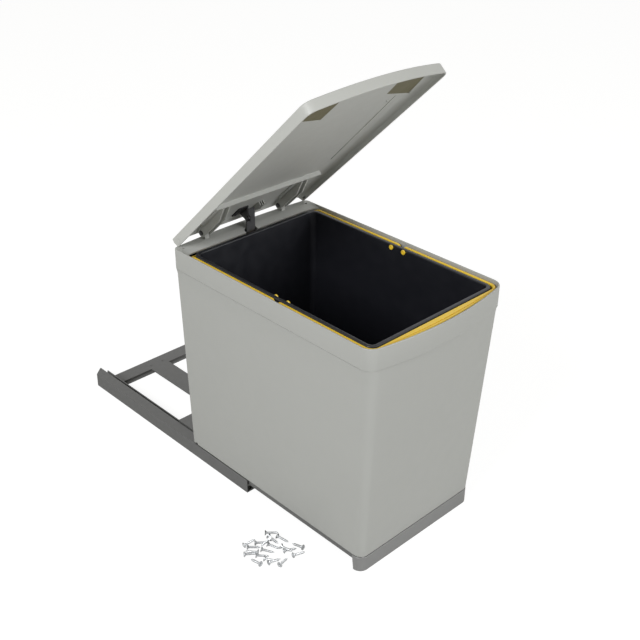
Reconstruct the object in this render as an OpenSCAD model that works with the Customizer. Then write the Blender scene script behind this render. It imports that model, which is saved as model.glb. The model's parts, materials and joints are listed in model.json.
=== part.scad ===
// Base-mounted pull-out kitchen waste bin, drawn fully pulled out with its lid up.
// The origin is on the cabinet floor, at the middle of the four base screws.
// X points right, Y points to the back of the cabinet and Z points up.

/* [Fixed frame] */
// Length of each fixed side rail
rail_len = 384; // [300:2:480]
// Height of the fixed side rails
rail_h = 22; // [21:0.5:26]
// Width of the frame over both fixed rails
frame_w = 218; // [200:2:250]
// Thickness of all steel sheet in the frame
sheet = 1.5; // [1:0.1:2]
// Width of the rail's top flange
rail_top_w = 16; // [12:1:18]
// Clear width of the rail's bottom flange, from its web to its inner lip
rail_floor_w = 19; // [17:0.5:22]
// Height of the rail's inner lip
rail_lip_h = 20; // [10:1:20]
// Distance that the rail's top flange runs on past its web at the back
rail_tail = 12; // [0:1:16]
// Depth of the raised band of the rear cross member
cross_band_d = 26; // [20:1:36]
// Height of the raised band of the rear cross member
cross_h = 5; // [4:0.5:8]
// Depth of the foot in front of the cross member's band
cross_foot_d = 6; // [4:1:12]
// Width of the centre strip that carries the lid ramp
strip_w = 36; // [24:1:50]
// Thickness of the centre strip
strip_t = 2; // [1:0.5:3]
// Depth of the front tie bar under the bin
tie_d = 30; // [20:1:50]

/* [Base screws] */
// Distance from each end of the cross member to its base screw
screw_in = 9; // [6:0.5:14]
// Distance from each end of the fixed rails to its base screws
screw_end_in = 14; // [10:1:18]
// Diameter of the base screw holes
screw_hole_d = 4.5; // [3.5:0.1:5.5]
// Length of a loose mounting screw
screw_len = 19; // [15:1:25]
// Shank diameter of a loose mounting screw
screw_d = 3.6; // [2.5:0.1:4]
// Head diameter of a loose mounting screw
screw_head_d = 8; // [6:0.5:8]

/* [Carriage] */
// Travel from pulled out to pushed in
travel = 200; // [150:5:230]
// Height of the moving rail's outer web
web_h = 7; // [5:0.5:8]
// Width of the ledge that carries the bin on each moving rail
ledge_w = 16; // [10:1:24]
// Distance that the carriage reaches behind the bin
tail_d = 58.5; // [50:0.5:80]
// Depth of the rear cross plate
rear_plate_d = 105; // [98:1:120]
// Depth of the front cross plate
front_plate_d = 40; // [25:1:60]
// Height of the front strip over the floor
strip_clear = 1; // [0.5:0.5:3]
// Thickness of the front strip
front_strip_t = 2; // [1.5:0.5:3]
// Distance that the front strip wraps back along each side
front_wrap = 16; // [10:1:30]

/* [Rollers] */
// Width of every rail roller
roller_w = 6; // [4:0.5:8]
// Diameter of the roller rivets
rivet_d = 4.9; // [4:0.1:5.2]
// Radial running clearance of a roller on its rivet
rivet_clear = 0.05; // [0.02:0.01:0.1]
// Distance from the fixed rail's front end to its roller
front_roller_in = 12; // [10:1:20]
// Distance from the moving rail's rear end to its roller
rear_roller_in = 14; // [12:1:20]
// Gap left at every rolling or sliding face
run_gap = 0.4; // [0.3:0.05:0.5]

/* [Outer bin] */
// Distance that the bin's rim overhangs the frame on each side
bin_over = 13.5; // [10:0.5:24]
// Depth of the outer bin from its front corners to its rear face
bin_d = 368.5; // [340:0.5:420]
// Height of the outer bin
bin_h = 326; // [280:1:400]
// Draw-in of each side wall from rim to floor
side_taper = 12.5; // [8:0.5:18]
// Draw-in of the front wall from rim to floor, at the corners
front_taper = 15.4; // [8:0.2:18]
// Wall thickness of the outer bin
bin_wall = 2.2; // [1.8:0.1:3]
// Floor thickness of the outer bin
bin_floor = 2.5; // [2:0.1:4]
// Outward bow of the rim's front edge at mid width
rim_bow = 11.5; // [6:0.5:14]
// Height of the collar round the rim
collar_h = 30; // [20:1:40]
// Step under the collar at the middle of the front
collar_step = 3.5; // [1.5:0.1:4]
// Step under the collar at the corners
corner_step = 0.8; // [0.2:0.1:1.4]
// Draw-in of the side walls under the collar
side_step = 2; // [1:0.1:3]
// Height over which the side walls draw in under the collar
side_step_h = 7; // [4:0.5:12]
// Radius of the bin's front upright corners at the rim
front_r = 18; // [14:1:24]
// Radius of the bin's front upright corners at the foot
foot_r = 12; // [8:1:16]
// Radius of the bin's rear upright corners
rear_r = 8; // [6:1:12]
// Outward bow of the rim's rear edge at mid width
rear_bow = 5; // [2:0.5:7]
// Depth of the shelf behind the opening, at its ends
shelf_d = 22; // [20:0.5:28]
// Depth of the shelf's flat part, at its ends
shelf_flat_d = 10.5; // [9:0.5:14]
// Drop of the shelf's sloping front
shelf_drop = 4; // [3:0.5:7]
// Height of the lip that hangs from the shelf's front edge
shelf_lip_h = 2.5; // [2:0.5:8]
// Thickness of the shelf
shelf_t = 2; // [1.5:0.1:3]

/* [Inner bucket] */
// Distance from the bin's rim down to the bucket's rim
bucket_drop = 3; // [1:0.5:5]
// Wall thickness of the bucket
bucket_wall = 1.8; // [1.4:0.1:2.5]
// Distance from the bin's rim in to the bucket's wall on each side
bucket_in = 14.5; // [13:0.5:22]
// Width of the bucket's rim flange
bucket_flange = 4; // [3:0.5:6]
// Height of the bucket's turned-down rim
bucket_rim_h = 8; // [6:0.5:12]
// Draw-in of the bucket's walls from rim to floor
bucket_taper = 11; // [6:0.5:14]
// Gap under the bucket's floor
bucket_seat = 0.3; // [0.2:0.1:0.4]
// Gap from the bin's front rim corner line to the bucket's rim
bucket_front_gap = 9.5; // [8:0.5:12]
// Gap from the shelf's lip to the bucket's rim
bucket_rear_gap = 5.5; // [5.5:0.5:12]
// Gap from the bucket's front rim to the grip of the front handle
grip_gap = 2; // [1:0.2:3]

/* [Handles] */
// Width of the handles' side arms
arm_w = 3.6; // [3:0.1:4.5]
// Height of the handles' side arms
arm_h = 7; // [5:0.5:9]
// Gap between the bucket's rim and the handles
arm_gap = 1.2; // [0.6:0.1:1.6]
// Outward bow of the front handle's crescent grip
grip_bow = 8.8; // [5:0.2:10]
// Distance from the bin's rear face to the rear handle's pivots
rear_pivot_in = 188.5; // [150:0.5:200]
// Distance between the front and the rear handle's pivots
pivot_pitch = 22; // [20:1:30]
// Length of a handle's arm past its pivot
arm_past = 7; // [5:0.5:8]
// Diameter of the handle pivots
handle_pin_d = 3.2; // [2.4:0.1:3.2]
// Diameter of the pivots' button heads
button_d = 7; // [5:0.5:7]
// Thickness of the button heads
button_t = 2; // [1:0.5:3]
// Drop of the rear handle's cross run under its arms
rear_run_drop = 6; // [4:0.5:7]

/* [Lid] */
// Angle that the lid stands open
lid_open = 44.2; // [0:0.1:60]
// Distance from the bin's rim in to the lid's skirt on each side
lid_in = 6.7; // [3:0.1:14]
// Length of the lid at its side skirts
lid_len = 366; // [330:1:400]
// Outward bow of the lid's front edge
lid_bow = 12.5; // [4:0.5:16]
// Depth of the lid's skirt from its top face
skirt_h = 14; // [10:0.5:20]
// Wall thickness of the lid
lid_wall = 2.3; // [1.8:0.1:3]
// Height of the hinge axis over the bin's rim
hinge_up = 9; // [8:0.5:12]
// Distance from the bin's rear face to the hinge axis
hinge_in = 4.5; // [3:0.5:6]
// Distance from the hinge axis to the lid's rear edge
lid_back = 13.9; // [11:0.1:16]
// Distance from the hinge axis up to the lid's top face when shut
lid_up = 8.6; // [8:0.1:10]
// Distance from the bin's rim in to each hinge post
post_in = 52.5; // [45:0.5:65]
// Width of each hinge post
post_w = 7; // [5:0.5:10]
// Diameter of the hinge pins
hinge_pin_d = 4.8; // [3:0.1:5]
// Distance from the hinge axis to the lid's cross rib
rib_y = 80; // [60:1:110]

/* [Lid lift] */
// Width of the flat steel lift strap
strap_w = 15; // [10:0.5:16]
// Thickness of the lift strap
strap_thick = 2; // [1.5:0.1:3]
// Distance from the hinge axis forward to the crank pin
crank_y = 18; // [16:0.5:20]
// Distance that the lift strap rises as the bin is pulled out
lift = 14.5; // [10:0.5:18]
// Diameter of the ramp roller at the strap's foot
ramp_roller_d = 10; // [8:0.5:12]
// Width of the ramp roller
ramp_roller_w = 7; // [4:0.5:8]
// Diameter of the pin that joins the strap to the lid's crank
crank_pin_d = 4; // [3:0.1:5]

/* [Hidden] */
$fn = 48;

// One overrun serves every cut
over = 1;
// Straight steps in a quarter turn of a front corner, a rear corner and in half a bowed front edge
front_steps = 6;
rear_steps = 4;
bow_steps = 5;

steel_dark = [0.36, 0.36, 0.355];
steel_zinc = [0.72, 0.74, 0.75];
strip_grey = [0.54, 0.54, 0.535];
shell_grey = [0.70, 0.70, 0.67];
bucket_black = [0.09, 0.09, 0.105];
handle_yellow = [0.95, 0.74, 0.12];
nylon = [0.85, 0.85, 0.82];
bracket_black = [0.13, 0.13, 0.13];
strap_grey = [0.25, 0.25, 0.25];

// Widths over the bin's rim and over the lid's skirt
bin_w = frame_w + 2 * bin_over;
lid_w = bin_w - 2 * lid_in;

// Lengthwise places, from the back of the carriage forward
rail_rear_y = rail_len / 2;
rail_front_y = -rail_len / 2;
carriage_rear_y = rail_rear_y - travel;
bin_rear_y = carriage_rear_y - tail_d;
bin_front_y = bin_rear_y - bin_d;
bin_foot_y = bin_front_y + front_taper;

// Rail section, from the floor up and from the web inwards
rail_x = frame_w / 2;
rail_roof_z = rail_h - sheet;
rail_lip_x = rail_x - sheet - rail_floor_w;
cross_half_w = rail_lip_x - sheet;
screw_pitch_x = 2 * (cross_half_w - screw_in);
screw_pitch_y = rail_len - 2 * screw_end_in;
flange_in_x = rail_x - rail_top_w;
front_roller_r = (rail_roof_z - sheet - sheet - 2 * run_gap - run_gap) / 2;
front_roller_z = sheet + run_gap + front_roller_r;
flange_z = front_roller_z + front_roller_r + run_gap;
rear_roller_r = (rail_roof_z - sheet - 2 * run_gap) / 2;
rear_roller_z = sheet + run_gap + rear_roller_r;
web_gap = 2;
rest_gap = 0.1;
web_x = rail_x - sheet - web_gap;
riser_x = flange_in_x - web_gap;
ledge_z = rail_h + sheet / 3;
bin_z = ledge_z + sheet;
strip_inset = 0.4;
edge_r = 1;
moving_front_y = bin_foot_y - strip_inset + front_strip_t;
moving_len = carriage_rear_y - moving_front_y;
roller_x = web_x - 2 * sheet - roller_w / 2;
front_roller_y = rail_front_y + front_roller_in;
rear_roller_y = carriage_rear_y - rear_roller_in;
rivet_ear_share = 2.4;
ear_w = rivet_d * rivet_ear_share;
ear_z = rear_roller_z - ear_w / 2;
roller_bore_d = rivet_d + 2 * rivet_clear;
notch_len = 2 * (rear_roller_r + sheet);

// Cross member, tie bar and ramp strip
band_front_y = rail_rear_y - cross_band_d;
tie_front_y = -screw_pitch_y / 2 - tie_d / 2;
strip_tab_share = 0.7;
strip_tab_d = cross_band_d * strip_tab_share;

// Bin heights
rim_z = bin_z + bin_h;
collar_z = rim_z - collar_h;
bin_half_w = bin_w / 2;
foot_half_w = bin_half_w - side_taper;
under_half_w = bin_half_w - side_step;
under_bow = rim_bow - collar_step + corner_step;
lip_front_y = bin_rear_y - shelf_d;

// Bucket places
bucket_half_w = bin_half_w - bucket_in;
bucket_rim_z = rim_z - bucket_drop;
bucket_front_y = bin_front_y + bucket_front_gap + bucket_flange;
bucket_rear_y = lip_front_y - bucket_rear_gap - bucket_flange;
bucket_floor_z = bin_z + bin_floor + bucket_seat;
bucket_rim_half = bucket_half_w + bucket_flange;
bucket_front_r = 8;
bucket_rear_r = 10;

// Handle places
arm_top_z = bucket_rim_z;
arm_mid_z = arm_top_z - arm_h / 2;
rear_pivot_y = bin_rear_y - rear_pivot_in;
front_pivot_y = rear_pivot_y - pivot_pitch;
arm_in_x = bucket_rim_half + arm_gap;
arm_out_x = arm_in_x + arm_w;
grip_back_y = bucket_front_y - bucket_flange - grip_gap;
handle_bore_d = handle_pin_d + 2 * rivet_clear;
rear_run_y = bucket_rear_y + bucket_flange + arm_gap;

// Hinge, lid and lift places
hinge_y = bin_rear_y - hinge_in;
hinge_z = rim_z + hinge_up;
post_x = bin_half_w - post_in;
lid_half_w = lid_w / 2;
lid_top = lid_up;
lid_skirt_z = lid_up - skirt_h;
lid_panel_z = lid_up - lid_wall;
lid_rear = lid_back;
lid_front = lid_back - lid_len;
pin_y = hinge_y - crank_y;
crank_z = hinge_z + lift / 2;
strap_back_y = pin_y + crank_pin_d + strap_thick;
strap_hole_w = strap_w + 3;
strap_hole_d = ramp_roller_d + 4;
roller_rest_gap = 0.3;
ramp_low = cross_h;
ramp_high = cross_h + lift;
ramp_roller_z = ramp_high + roller_rest_gap + ramp_roller_d / 2;
ramp_len = 112;

// Carriage plates and the four screws that hold the outer bin down on them
plate_half_w = riser_x - ledge_w;
plate_hem = 5;
fixing_in = 15;
fixing_x = plate_half_w - fixing_in;
fixing_d = 4;
fixing_head_d = 8;
fixing_head_t = 1.6;
rear_fixing_y = carriage_rear_y - rear_plate_d + fixing_head_d;
front_fixing_y = moving_front_y + front_plate_d / 2;

// Small sizes of the strip, the rivets and the rollers
strip_rivet_d = 2;
strip_rivet_x = strip_w / 3;
strip_rivet_share = 0.4;
strip_rivet_y = band_front_y + cross_band_d * strip_rivet_share;
rivet_head_t = 1;
rivet_head_share = 1.5;
hub_share = 1.8;
roller_pin_d = 3;
fork_x = ramp_roller_w / 2 + run_gap;

// Small sizes of the hinges, the crank and the strap's guide
post_d = 8;
post_peg_d = 4;
post_foot_h = 3;
ear_t = 2.4;
ear_gap = 0.4;
ear_out = post_w / 2 + ear_gap + ear_t;
ear_r = 6.2;
lid_front_r = 15;
lid_rear_r = 4;
rib_h = 6;
rib_share = 0.81;
crank_t = 2;
crank_in_x = strap_w / 2 + 1;
crank_out_x = crank_in_x + crank_t;
crank_foot_w = 14;
crank_foot_len = 24;
slot_gap = 0.4;
strap_top_up = 10.5;
notch_gap = 1.6;
guide_gap = 0.3;

// Heap of loose screws: its middle, then each head's place in screw lengths and its direction in degrees,
// for the screws on the floor and for those that lie across other screws' heads
heap_x = -165;
heap_y = -312;
floor_screw_shares = [
    [-1.53, -0.37, 95], [-1.74, 1.16, -28], [-1.11, 1.58, -35], [-0.42, 1.53, -30], [0.74, 1.42, -84],
    [1.21, 1, -75], [1.74, -1.16, 100], [-1.21, 0.53, -40], [-0.53, 0.74, -55], [0.16, 0.84, -65],
    [-1.05, -0.63, -10], [-0.63, -1.32, 15], [0.68, -1.26, -12], [0.53, -0.47, -20],
];
raised_screw_shares = [
    [0.42, 0.88, 189], [-1.08, 0.37, 130], [-1.22, -0.36, -58],
    [0.47, -0.24, -77], [-1.37, 1.6, -4], [0.56, 1.58, -42],
];

// Points of an arc, in steps, from one angle to another
function arc(cx, cy, r, from, to, steps) =
    [for (i = [0:steps]) let (a = from + (to - from) * i / steps) [cx + r * cos(a), cy + r * sin(a)]];

// Points of a shallow bow between two corners, in steps, from its low end in X to its high end
function bow_points(end_x, end_y, bow) =
    [for (i = [1 - bow_steps:bow_steps - 1])
        let (share = i / bow_steps) [end_x * share, end_y + bow * (1 - share * share)]];

// Outline with rounded corners whose front and rear edges bow outwards, meeting the corners without a kink
function bowed_outline(half_w, front_y, rear_y, r_front, r_rear, bow, back_bow = 0) =
    let (kink = atan(2 * bow / (half_w - r_front)))
    let (end_x = half_w - r_front + r_front * sin(kink))
    let (end_y = front_y + r_front - r_front * cos(kink))
    let (back_kink = atan(2 * back_bow / (half_w - r_rear)))
    let (back_x = half_w - r_rear + r_rear * sin(back_kink))
    let (back_y = rear_y - r_rear + r_rear * cos(back_kink))
    concat(
        arc(-half_w + r_front, front_y + r_front, r_front, 180, 270 - kink, front_steps),
        bow_points(end_x, end_y, -bow),
        arc(half_w - r_front, front_y + r_front, r_front, 270 + kink, 360, front_steps),
        arc(half_w - r_rear, rear_y - r_rear, r_rear, 0, 90 - back_kink, rear_steps),
        bow_points(-back_x, back_y, back_bow),
        arc(-half_w + r_rear, rear_y - r_rear, r_rear, 90 + back_kink, 180, rear_steps)
    );

function lifted(outline, z) = [for (p = outline) [p[0], p[1], z]];

// A closed solid skinned over rings of equally many points
module skin(rings) {
    n = len(rings[0]);
    points = [for (ring = rings) each ring];
    sides = [for (k = [0:len(rings) - 2], i = [0:n - 1])
        let (a = k * n + i, b = k * n + (i + 1) % n)
        each [[a, b + n, b], [a, a + n, b + n]]];
    first = [for (i = [0:n - 1]) i];
    last = [for (i = [n - 1:-1:0]) (len(rings) - 1) * n + i];
    polyhedron(points = points, faces = concat([first], sides, [last]));
}

// Children and their mirror image on the other side
module both_sides() {
    children();
    mirror([1, 0, 0]) children();
}

// A box given by its low corner and its high corner
module span(low, high) {
    translate(low) cube(high - low);
}

// A cylinder along X from one place to another
module pin_x(d, x_from, x_to) {
    translate([x_from, 0, 0]) rotate([0, 90, 0]) cylinder(d = d, h = x_to - x_from);
}

// A profile in Y and Z, drawn out along X
module along_x(x_from, x_to) {
    translate([x_from, 0, 0]) rotate([90, 0, 90]) linear_extrude(x_to - x_from) children();
}

// A profile in X and Z, drawn out along Y
module along_y(y_from, y_to) {
    translate([0, y_to, 0]) rotate([90, 0, 0]) linear_extrude(y_to - y_from) children();
}

// Fixed left rail: a C of sheet steel with an inner lip, open towards the middle
module left_fixed_rail() {
    color(steel_dark) difference() {
        union() {
            along_y(rail_front_y, rail_rear_y) polygon([
                [-rail_x, 0], [-rail_lip_x + sheet, 0], [-rail_lip_x + sheet, rail_lip_h],
                [-rail_lip_x, rail_lip_h], [-rail_lip_x, sheet], [-rail_x + sheet, sheet],
                [-rail_x + sheet, rail_roof_z], [-flange_in_x, rail_roof_z],
                [-flange_in_x, rail_h], [-rail_x, rail_h]
            ]);
            translate([0, 0, rail_roof_z]) linear_extrude(sheet) polygon([
                [-rail_x, rail_rear_y - sheet], [-flange_in_x, rail_rear_y - sheet],
                [-flange_in_x, rail_rear_y + rail_tail], [-flange_in_x - sheet, rail_rear_y + rail_tail],
                [-rail_x, rail_rear_y]
            ]);
        }
        translate([0, front_roller_y, front_roller_z])
            pin_x(rivet_d, -rail_x - over, -rail_x + sheet + over);
    }
}

module right_fixed_rail() {
    mirror([1, 0, 0]) left_fixed_rail();
}

// Rear cross member: a shallow raised band with a turned foot, open where the centre strip's tab enters.
// Each screw hole has a collar drawn down to the floor, so that the screw doesn't crush the band.
module rear_cross_member() {
    color(steel_dark) difference() {
        union() {
            along_x(-cross_half_w, cross_half_w) polygon([
                [rail_rear_y, 0], [rail_rear_y, cross_h], [band_front_y, cross_h],
                [band_front_y, sheet], [band_front_y - cross_foot_d, sheet],
                [band_front_y - cross_foot_d, 0], [band_front_y + sheet, 0],
                [band_front_y + sheet, cross_h - sheet], [rail_rear_y - sheet, cross_h - sheet],
                [rail_rear_y - sheet, 0]
            ]);
            both_sides() translate([screw_pitch_x / 2, screw_pitch_y / 2, 0])
                cylinder(d = screw_hole_d + 2 * sheet, h = cross_h - sheet / 2);
        }
        span([-strip_w / 2, band_front_y - over, sheet],
            [strip_w / 2, band_front_y + 2 * sheet, cross_h - sheet]);
        for (side = [-1, 1]) {
            translate([side * screw_pitch_x / 2, screw_pitch_y / 2, -over])
                cylinder(d = screw_hole_d, h = cross_h + 2 * over);
            translate([side * strip_rivet_x, strip_rivet_y, 0])
                cylinder(d = strip_rivet_d, h = cross_h + over);
        }
    }
}

// Front tie bar: a flat strip on the floor that joins the rails under the bin
module front_tie_bar() {
    color(steel_dark) difference() {
        span([-cross_half_w, tie_front_y, 0], [cross_half_w, tie_front_y + tie_d, sheet]);
        for (side = [-1, 1])
            translate([side * screw_pitch_x / 2, -screw_pitch_y / 2, -over])
                cylinder(d = screw_hole_d, h = sheet + 2 * over);
    }
}

// Centre strip: a tab under the cross member, a flat, the ramp for the lid's roller and a leg
// down to the tie bar
module lid_ramp_strip() {
    top_y = pin_y;
    end_y = pin_y - ramp_roller_d - strip_t;
    tab_z = cross_h - sheet;
    tab_y = band_front_y + strip_tab_d;
    color(steel_dark) difference() {
        along_x(-strip_w / 2, strip_w / 2) polygon([
            [band_front_y, ramp_low], [top_y + ramp_len, ramp_low], [top_y, ramp_high],
            [end_y, ramp_high], [end_y, sheet + strip_t], [tie_front_y, sheet + strip_t],
            [tie_front_y, sheet], [end_y + strip_t, sheet], [end_y + strip_t, ramp_high - strip_t],
            [top_y, ramp_high - strip_t], [top_y + ramp_len, ramp_low - strip_t],
            [band_front_y - cross_foot_d, ramp_low - strip_t], [band_front_y - strip_t, tab_z - strip_t],
            [tab_y, tab_z - strip_t], [tab_y, tab_z], [band_front_y, tab_z]
        ]);
        for (side = [-1, 1])
            translate([side * strip_rivet_x, strip_rivet_y, 0]) cylinder(d = strip_rivet_d, h = cross_h);
    }
}

// Rivets that hold the centre strip's tab under the cross member
module strip_rivets() {
    head_d = 2 * strip_rivet_d;
    head_t = 0.6;
    color(steel_zinc) for (side = [-1, 1])
        translate([side * strip_rivet_x, strip_rivet_y, 0]) {
            translate([0, 0, cross_h]) cylinder(d = head_d, h = head_t);
            translate([0, 0, cross_h - sheet - strip_t])
                cylinder(d = strip_rivet_d, h = sheet + strip_t + head_t);
        }
}

// A rivet along X: its shank passes the sheet and the roller, its head keeps the roller on
module roller_rivet(x_out, x_in) {
    pin_x(rivet_d, x_out, x_in + rivet_head_t);
    pin_x(rivet_d * rivet_head_share, x_in, x_in + rivet_head_t);
}

module front_roller_rivets() {
    color(steel_zinc) both_sides()
        translate([0, front_roller_y, front_roller_z])
            roller_rivet(-rail_x, -roller_x + roller_w / 2 + run_gap);
}

module rear_roller_rivets() {
    color(steel_zinc) both_sides()
        translate([0, rear_roller_y, rear_roller_z])
            roller_rivet(-web_x, -roller_x + roller_w / 2 + run_gap);
}

// Nylon roller with eased edges, a bore and a hub that keeps it off the sheet
module roller(r, x) {
    edge = 0.5;
    hub_d = rivet_d * hub_share;
    difference() {
        union() {
            pin_x(2 * (r - edge), x - roller_w / 2, x + roller_w / 2);
            pin_x(2 * r, x - roller_w / 2 + edge, x + roller_w / 2 - edge);
            pin_x(hub_d, x - roller_w / 2 - sheet + run_gap, x + roller_w / 2);
        }
        pin_x(roller_bore_d, x - roller_w, x + roller_w);
    }
}

module front_left_roller() {
    color(nylon) translate([0, front_roller_y, front_roller_z]) roller(front_roller_r, -roller_x);
}

module front_right_roller() {
    mirror([1, 0, 0]) front_left_roller();
}

module rear_left_roller() {
    color(nylon) translate([0, rear_roller_y, rear_roller_z]) roller(rear_roller_r, -roller_x);
}

module rear_right_roller() {
    mirror([1, 0, 0]) rear_left_roller();
}

// Moving left rail: outer web, flange under the fixed roof, riser through the slot and a ledge for the bin.
// The front end of its flange is cut back to clear the rounded corner of the front strip.
module left_moving_rail() {
    corner_cut = foot_r / 2;
    color(steel_dark) difference() {
        union() {
            along_y(moving_front_y, carriage_rear_y) polygon([
                [-web_x, flange_z + sheet - web_h], [-web_x + sheet, flange_z + sheet - web_h],
                [-web_x + sheet, flange_z], [-riser_x + sheet, flange_z],
                [-riser_x + sheet, ledge_z], [-riser_x + ledge_w, ledge_z],
                [-riser_x + ledge_w, ledge_z + sheet], [-riser_x, ledge_z + sheet],
                [-riser_x, flange_z + sheet], [-web_x, flange_z + sheet]
            ]);
            span([-web_x, rear_roller_y - ear_w / 2, ear_z],
                [-web_x + sheet, rear_roller_y + ear_w / 2, flange_z]);
        }
        span([-web_x + sheet, rear_roller_y - notch_len / 2, flange_z - over],
            [-riser_x, rear_roller_y + notch_len / 2, flange_z + sheet + over]);
        span([-web_x - over, moving_front_y - over, flange_z - web_h],
            [-foot_half_w + foot_r, moving_front_y + corner_cut, ledge_z]);
        translate([0, rear_roller_y, rear_roller_z])
            pin_x(rivet_d, -web_x - over, -web_x + sheet + over);
    }
}

module right_moving_rail() {
    mirror([1, 0, 0]) left_moving_rail();
}

// A plate between the two ledges, level with them
module cross_plate(y_from, y_to) {
    span([-plate_half_w, y_from, ledge_z], [plate_half_w, y_to, ledge_z + sheet]);
}

// Rear cross plate with a hem along its back and an opening for the lift strap's roller
module rear_cross_plate() {
    color(steel_dark) difference() {
        union() {
            cross_plate(carriage_rear_y - rear_plate_d, carriage_rear_y);
            span([-plate_half_w, carriage_rear_y - sheet, ledge_z + sheet - plate_hem],
                [plate_half_w, carriage_rear_y, ledge_z + sheet]);
        }
        strap_hole(ledge_z, sheet);
        fixing_holes(rear_fixing_y);
    }
}

module front_cross_plate() {
    color(steel_dark) difference() {
        cross_plate(moving_front_y, moving_front_y + front_plate_d);
        fixing_holes(front_fixing_y);
    }
}

// Opening for the lift strap's foot, through a floor of some thickness
module strap_hole(z, t) {
    span([-strap_hole_w / 2, pin_y - strap_hole_d / 2, z - over],
        [strap_hole_w / 2, pin_y + strap_hole_d / 2, z + t + over]);
}

// Holes for a pair of bin screws, through the plate and the bin's floor
module fixing_holes(y) {
    for (side = [-1, 1])
        translate([side * fixing_x, y, ledge_z - over])
            cylinder(d = fixing_d, h = sheet + bin_floor + 2 * over);
}

// Screws through the bin's floor into the cross plates, with their heads sunk in the floor
module bin_fixing_screws() {
    tip_t = sheet;
    color(steel_zinc) for (side = [-1, 1], y = [rear_fixing_y, front_fixing_y])
        translate([side * fixing_x, y, 0]) {
            translate([0, 0, ledge_z - tip_t]) cylinder(d = fixing_d, h = tip_t + sheet + bin_floor);
            translate([0, 0, bin_z + bin_floor - fixing_head_t])
                cylinder(d = fixing_head_d, h = fixing_head_t);
        }
}

// Outline of the bin's foot, which the front strip follows
function foot_outline(grow) =
    bowed_outline(foot_half_w + grow, bin_foot_y - grow, bin_rear_y + grow, foot_r + grow, rear_r, 0);

// Front strip: a band round the bin's foot and its front corners, cut back at a slant, with two fixing tabs
module front_strip() {
    wrap_y = bin_foot_y + front_wrap;
    slant = 3;
    color(strip_grey) {
        difference() {
            translate([0, 0, strip_clear]) linear_extrude(bin_z - strip_clear) difference() {
                polygon(foot_outline(strip_inset));
                polygon(foot_outline(strip_inset - front_strip_t));
            }
            along_x(-bin_w, bin_w) polygon([
                [wrap_y - slant, 0], [wrap_y, bin_z + over],
                [bin_rear_y + over, bin_z + over], [bin_rear_y + over, 0]
            ]);
        }
        both_sides() span([-riser_x + sheet, moving_front_y - front_strip_t, flange_z - web_h],
            [-riser_x + 2 * sheet, wrap_y, ledge_z]);
    }
}

// One ring of the bin's outside: half width, front edge, bow, corner radius, height and inset
function bin_ring(half_w, front_y, bow, back_bow, r, z, inset) =
    lifted(bowed_outline(half_w - inset, front_y + inset, bin_rear_y - inset, r - inset, rear_r - inset,
        bow, back_bow), z);

function foot_ring(z, inset) = bin_ring(foot_half_w, bin_foot_y, 0, 0, foot_r, z, inset);
function step_ring(z, half_w, back_bow, inset) =
    bin_ring(half_w, bin_front_y + corner_step, under_bow, back_bow, front_r, z, inset);
function collar_ring(z, inset) = bin_ring(bin_half_w, bin_front_y, rim_bow, rear_bow, front_r, z, inset);

function bin_outside() = [
    foot_ring(bin_z, edge_r),
    foot_ring(bin_z + edge_r, 0),
    step_ring(collar_z - side_step_h, under_half_w, 0, 0),
    step_ring(collar_z - edge_r / 2, bin_half_w - corner_step / 2, rear_bow, 0),
    collar_ring(collar_z, edge_r / 2),
    collar_ring(collar_z + edge_r / 2, 0),
    collar_ring(rim_z - edge_r, 0),
    collar_ring(rim_z, edge_r / 2),
];
function bin_inside() = [
    collar_ring(rim_z, bin_wall),
    collar_ring(collar_z + bin_wall, bin_wall),
    step_ring(collar_z - side_step_h, under_half_w, 0, bin_wall),
    foot_ring(bin_z + bin_floor, bin_wall),
];

// Shelf across the back of the bin: flat, then sloping down to a hanging lip
module shelf() {
    slope_y = bin_rear_y - shelf_flat_d;
    drop_z = rim_z - shelf_drop;
    intersection() {
        along_x(-bin_half_w, bin_half_w) polygon([
            [bin_rear_y + rear_bow - edge_r, rim_z], [slope_y, rim_z], [lip_front_y, drop_z],
            [lip_front_y, drop_z - shelf_lip_h], [lip_front_y + shelf_t, drop_z - shelf_lip_h],
            [lip_front_y + shelf_t, drop_z - shelf_t / 2],
            [slope_y, rim_z - shelf_t], [bin_rear_y + rear_bow - edge_r, rim_z - shelf_t]
        ]);
        skin(bin_outside());
    }
}

// Outer bin: a tapered tub with a collar, a bowed front and a hinge shelf
module outer_bin() {
    corner_hole_d = 4;
    corner_hole_in = 10;
    foot_notch = 6;
    foot_notch_h = 4;
    color(shell_grey) difference() {
        union() {
            skin(concat(bin_outside(), bin_inside()));
            shelf();
        }
        span([-crank_out_x - notch_gap, lip_front_y - over, rim_z - shelf_drop - shelf_lip_h - over],
            [strap_w / 2 + notch_gap, strap_back_y + notch_gap, rim_z + over]);
        for (side = [-1, 1]) {
            translate([side * (bin_half_w - corner_hole_in), bin_rear_y - shelf_flat_d, 0])
                translate([0, 0, rim_z - shelf_t - over])
                cylinder(d = corner_hole_d, h = shelf_t + 2 * over);
            translate([side * foot_half_w, bin_rear_y - rear_r - foot_notch, bin_z - over])
                span([-bin_wall - over, 0, 0], [bin_wall + over, foot_notch, foot_notch_h + over]);
            translate([side * post_x, hinge_y, rim_z - shelf_t - over])
                cylinder(d = post_peg_d, h = shelf_t + 2 * over);
        }
        strap_hole(bin_z, bin_floor);
        for (y = [rear_fixing_y, front_fixing_y]) {
            fixing_holes(y);
            for (side = [-1, 1])
                translate([side * fixing_x, y, bin_z + bin_floor - fixing_head_t])
                    cylinder(d = fixing_head_d, h = fixing_head_t + over);
        }
    }
}

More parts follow.
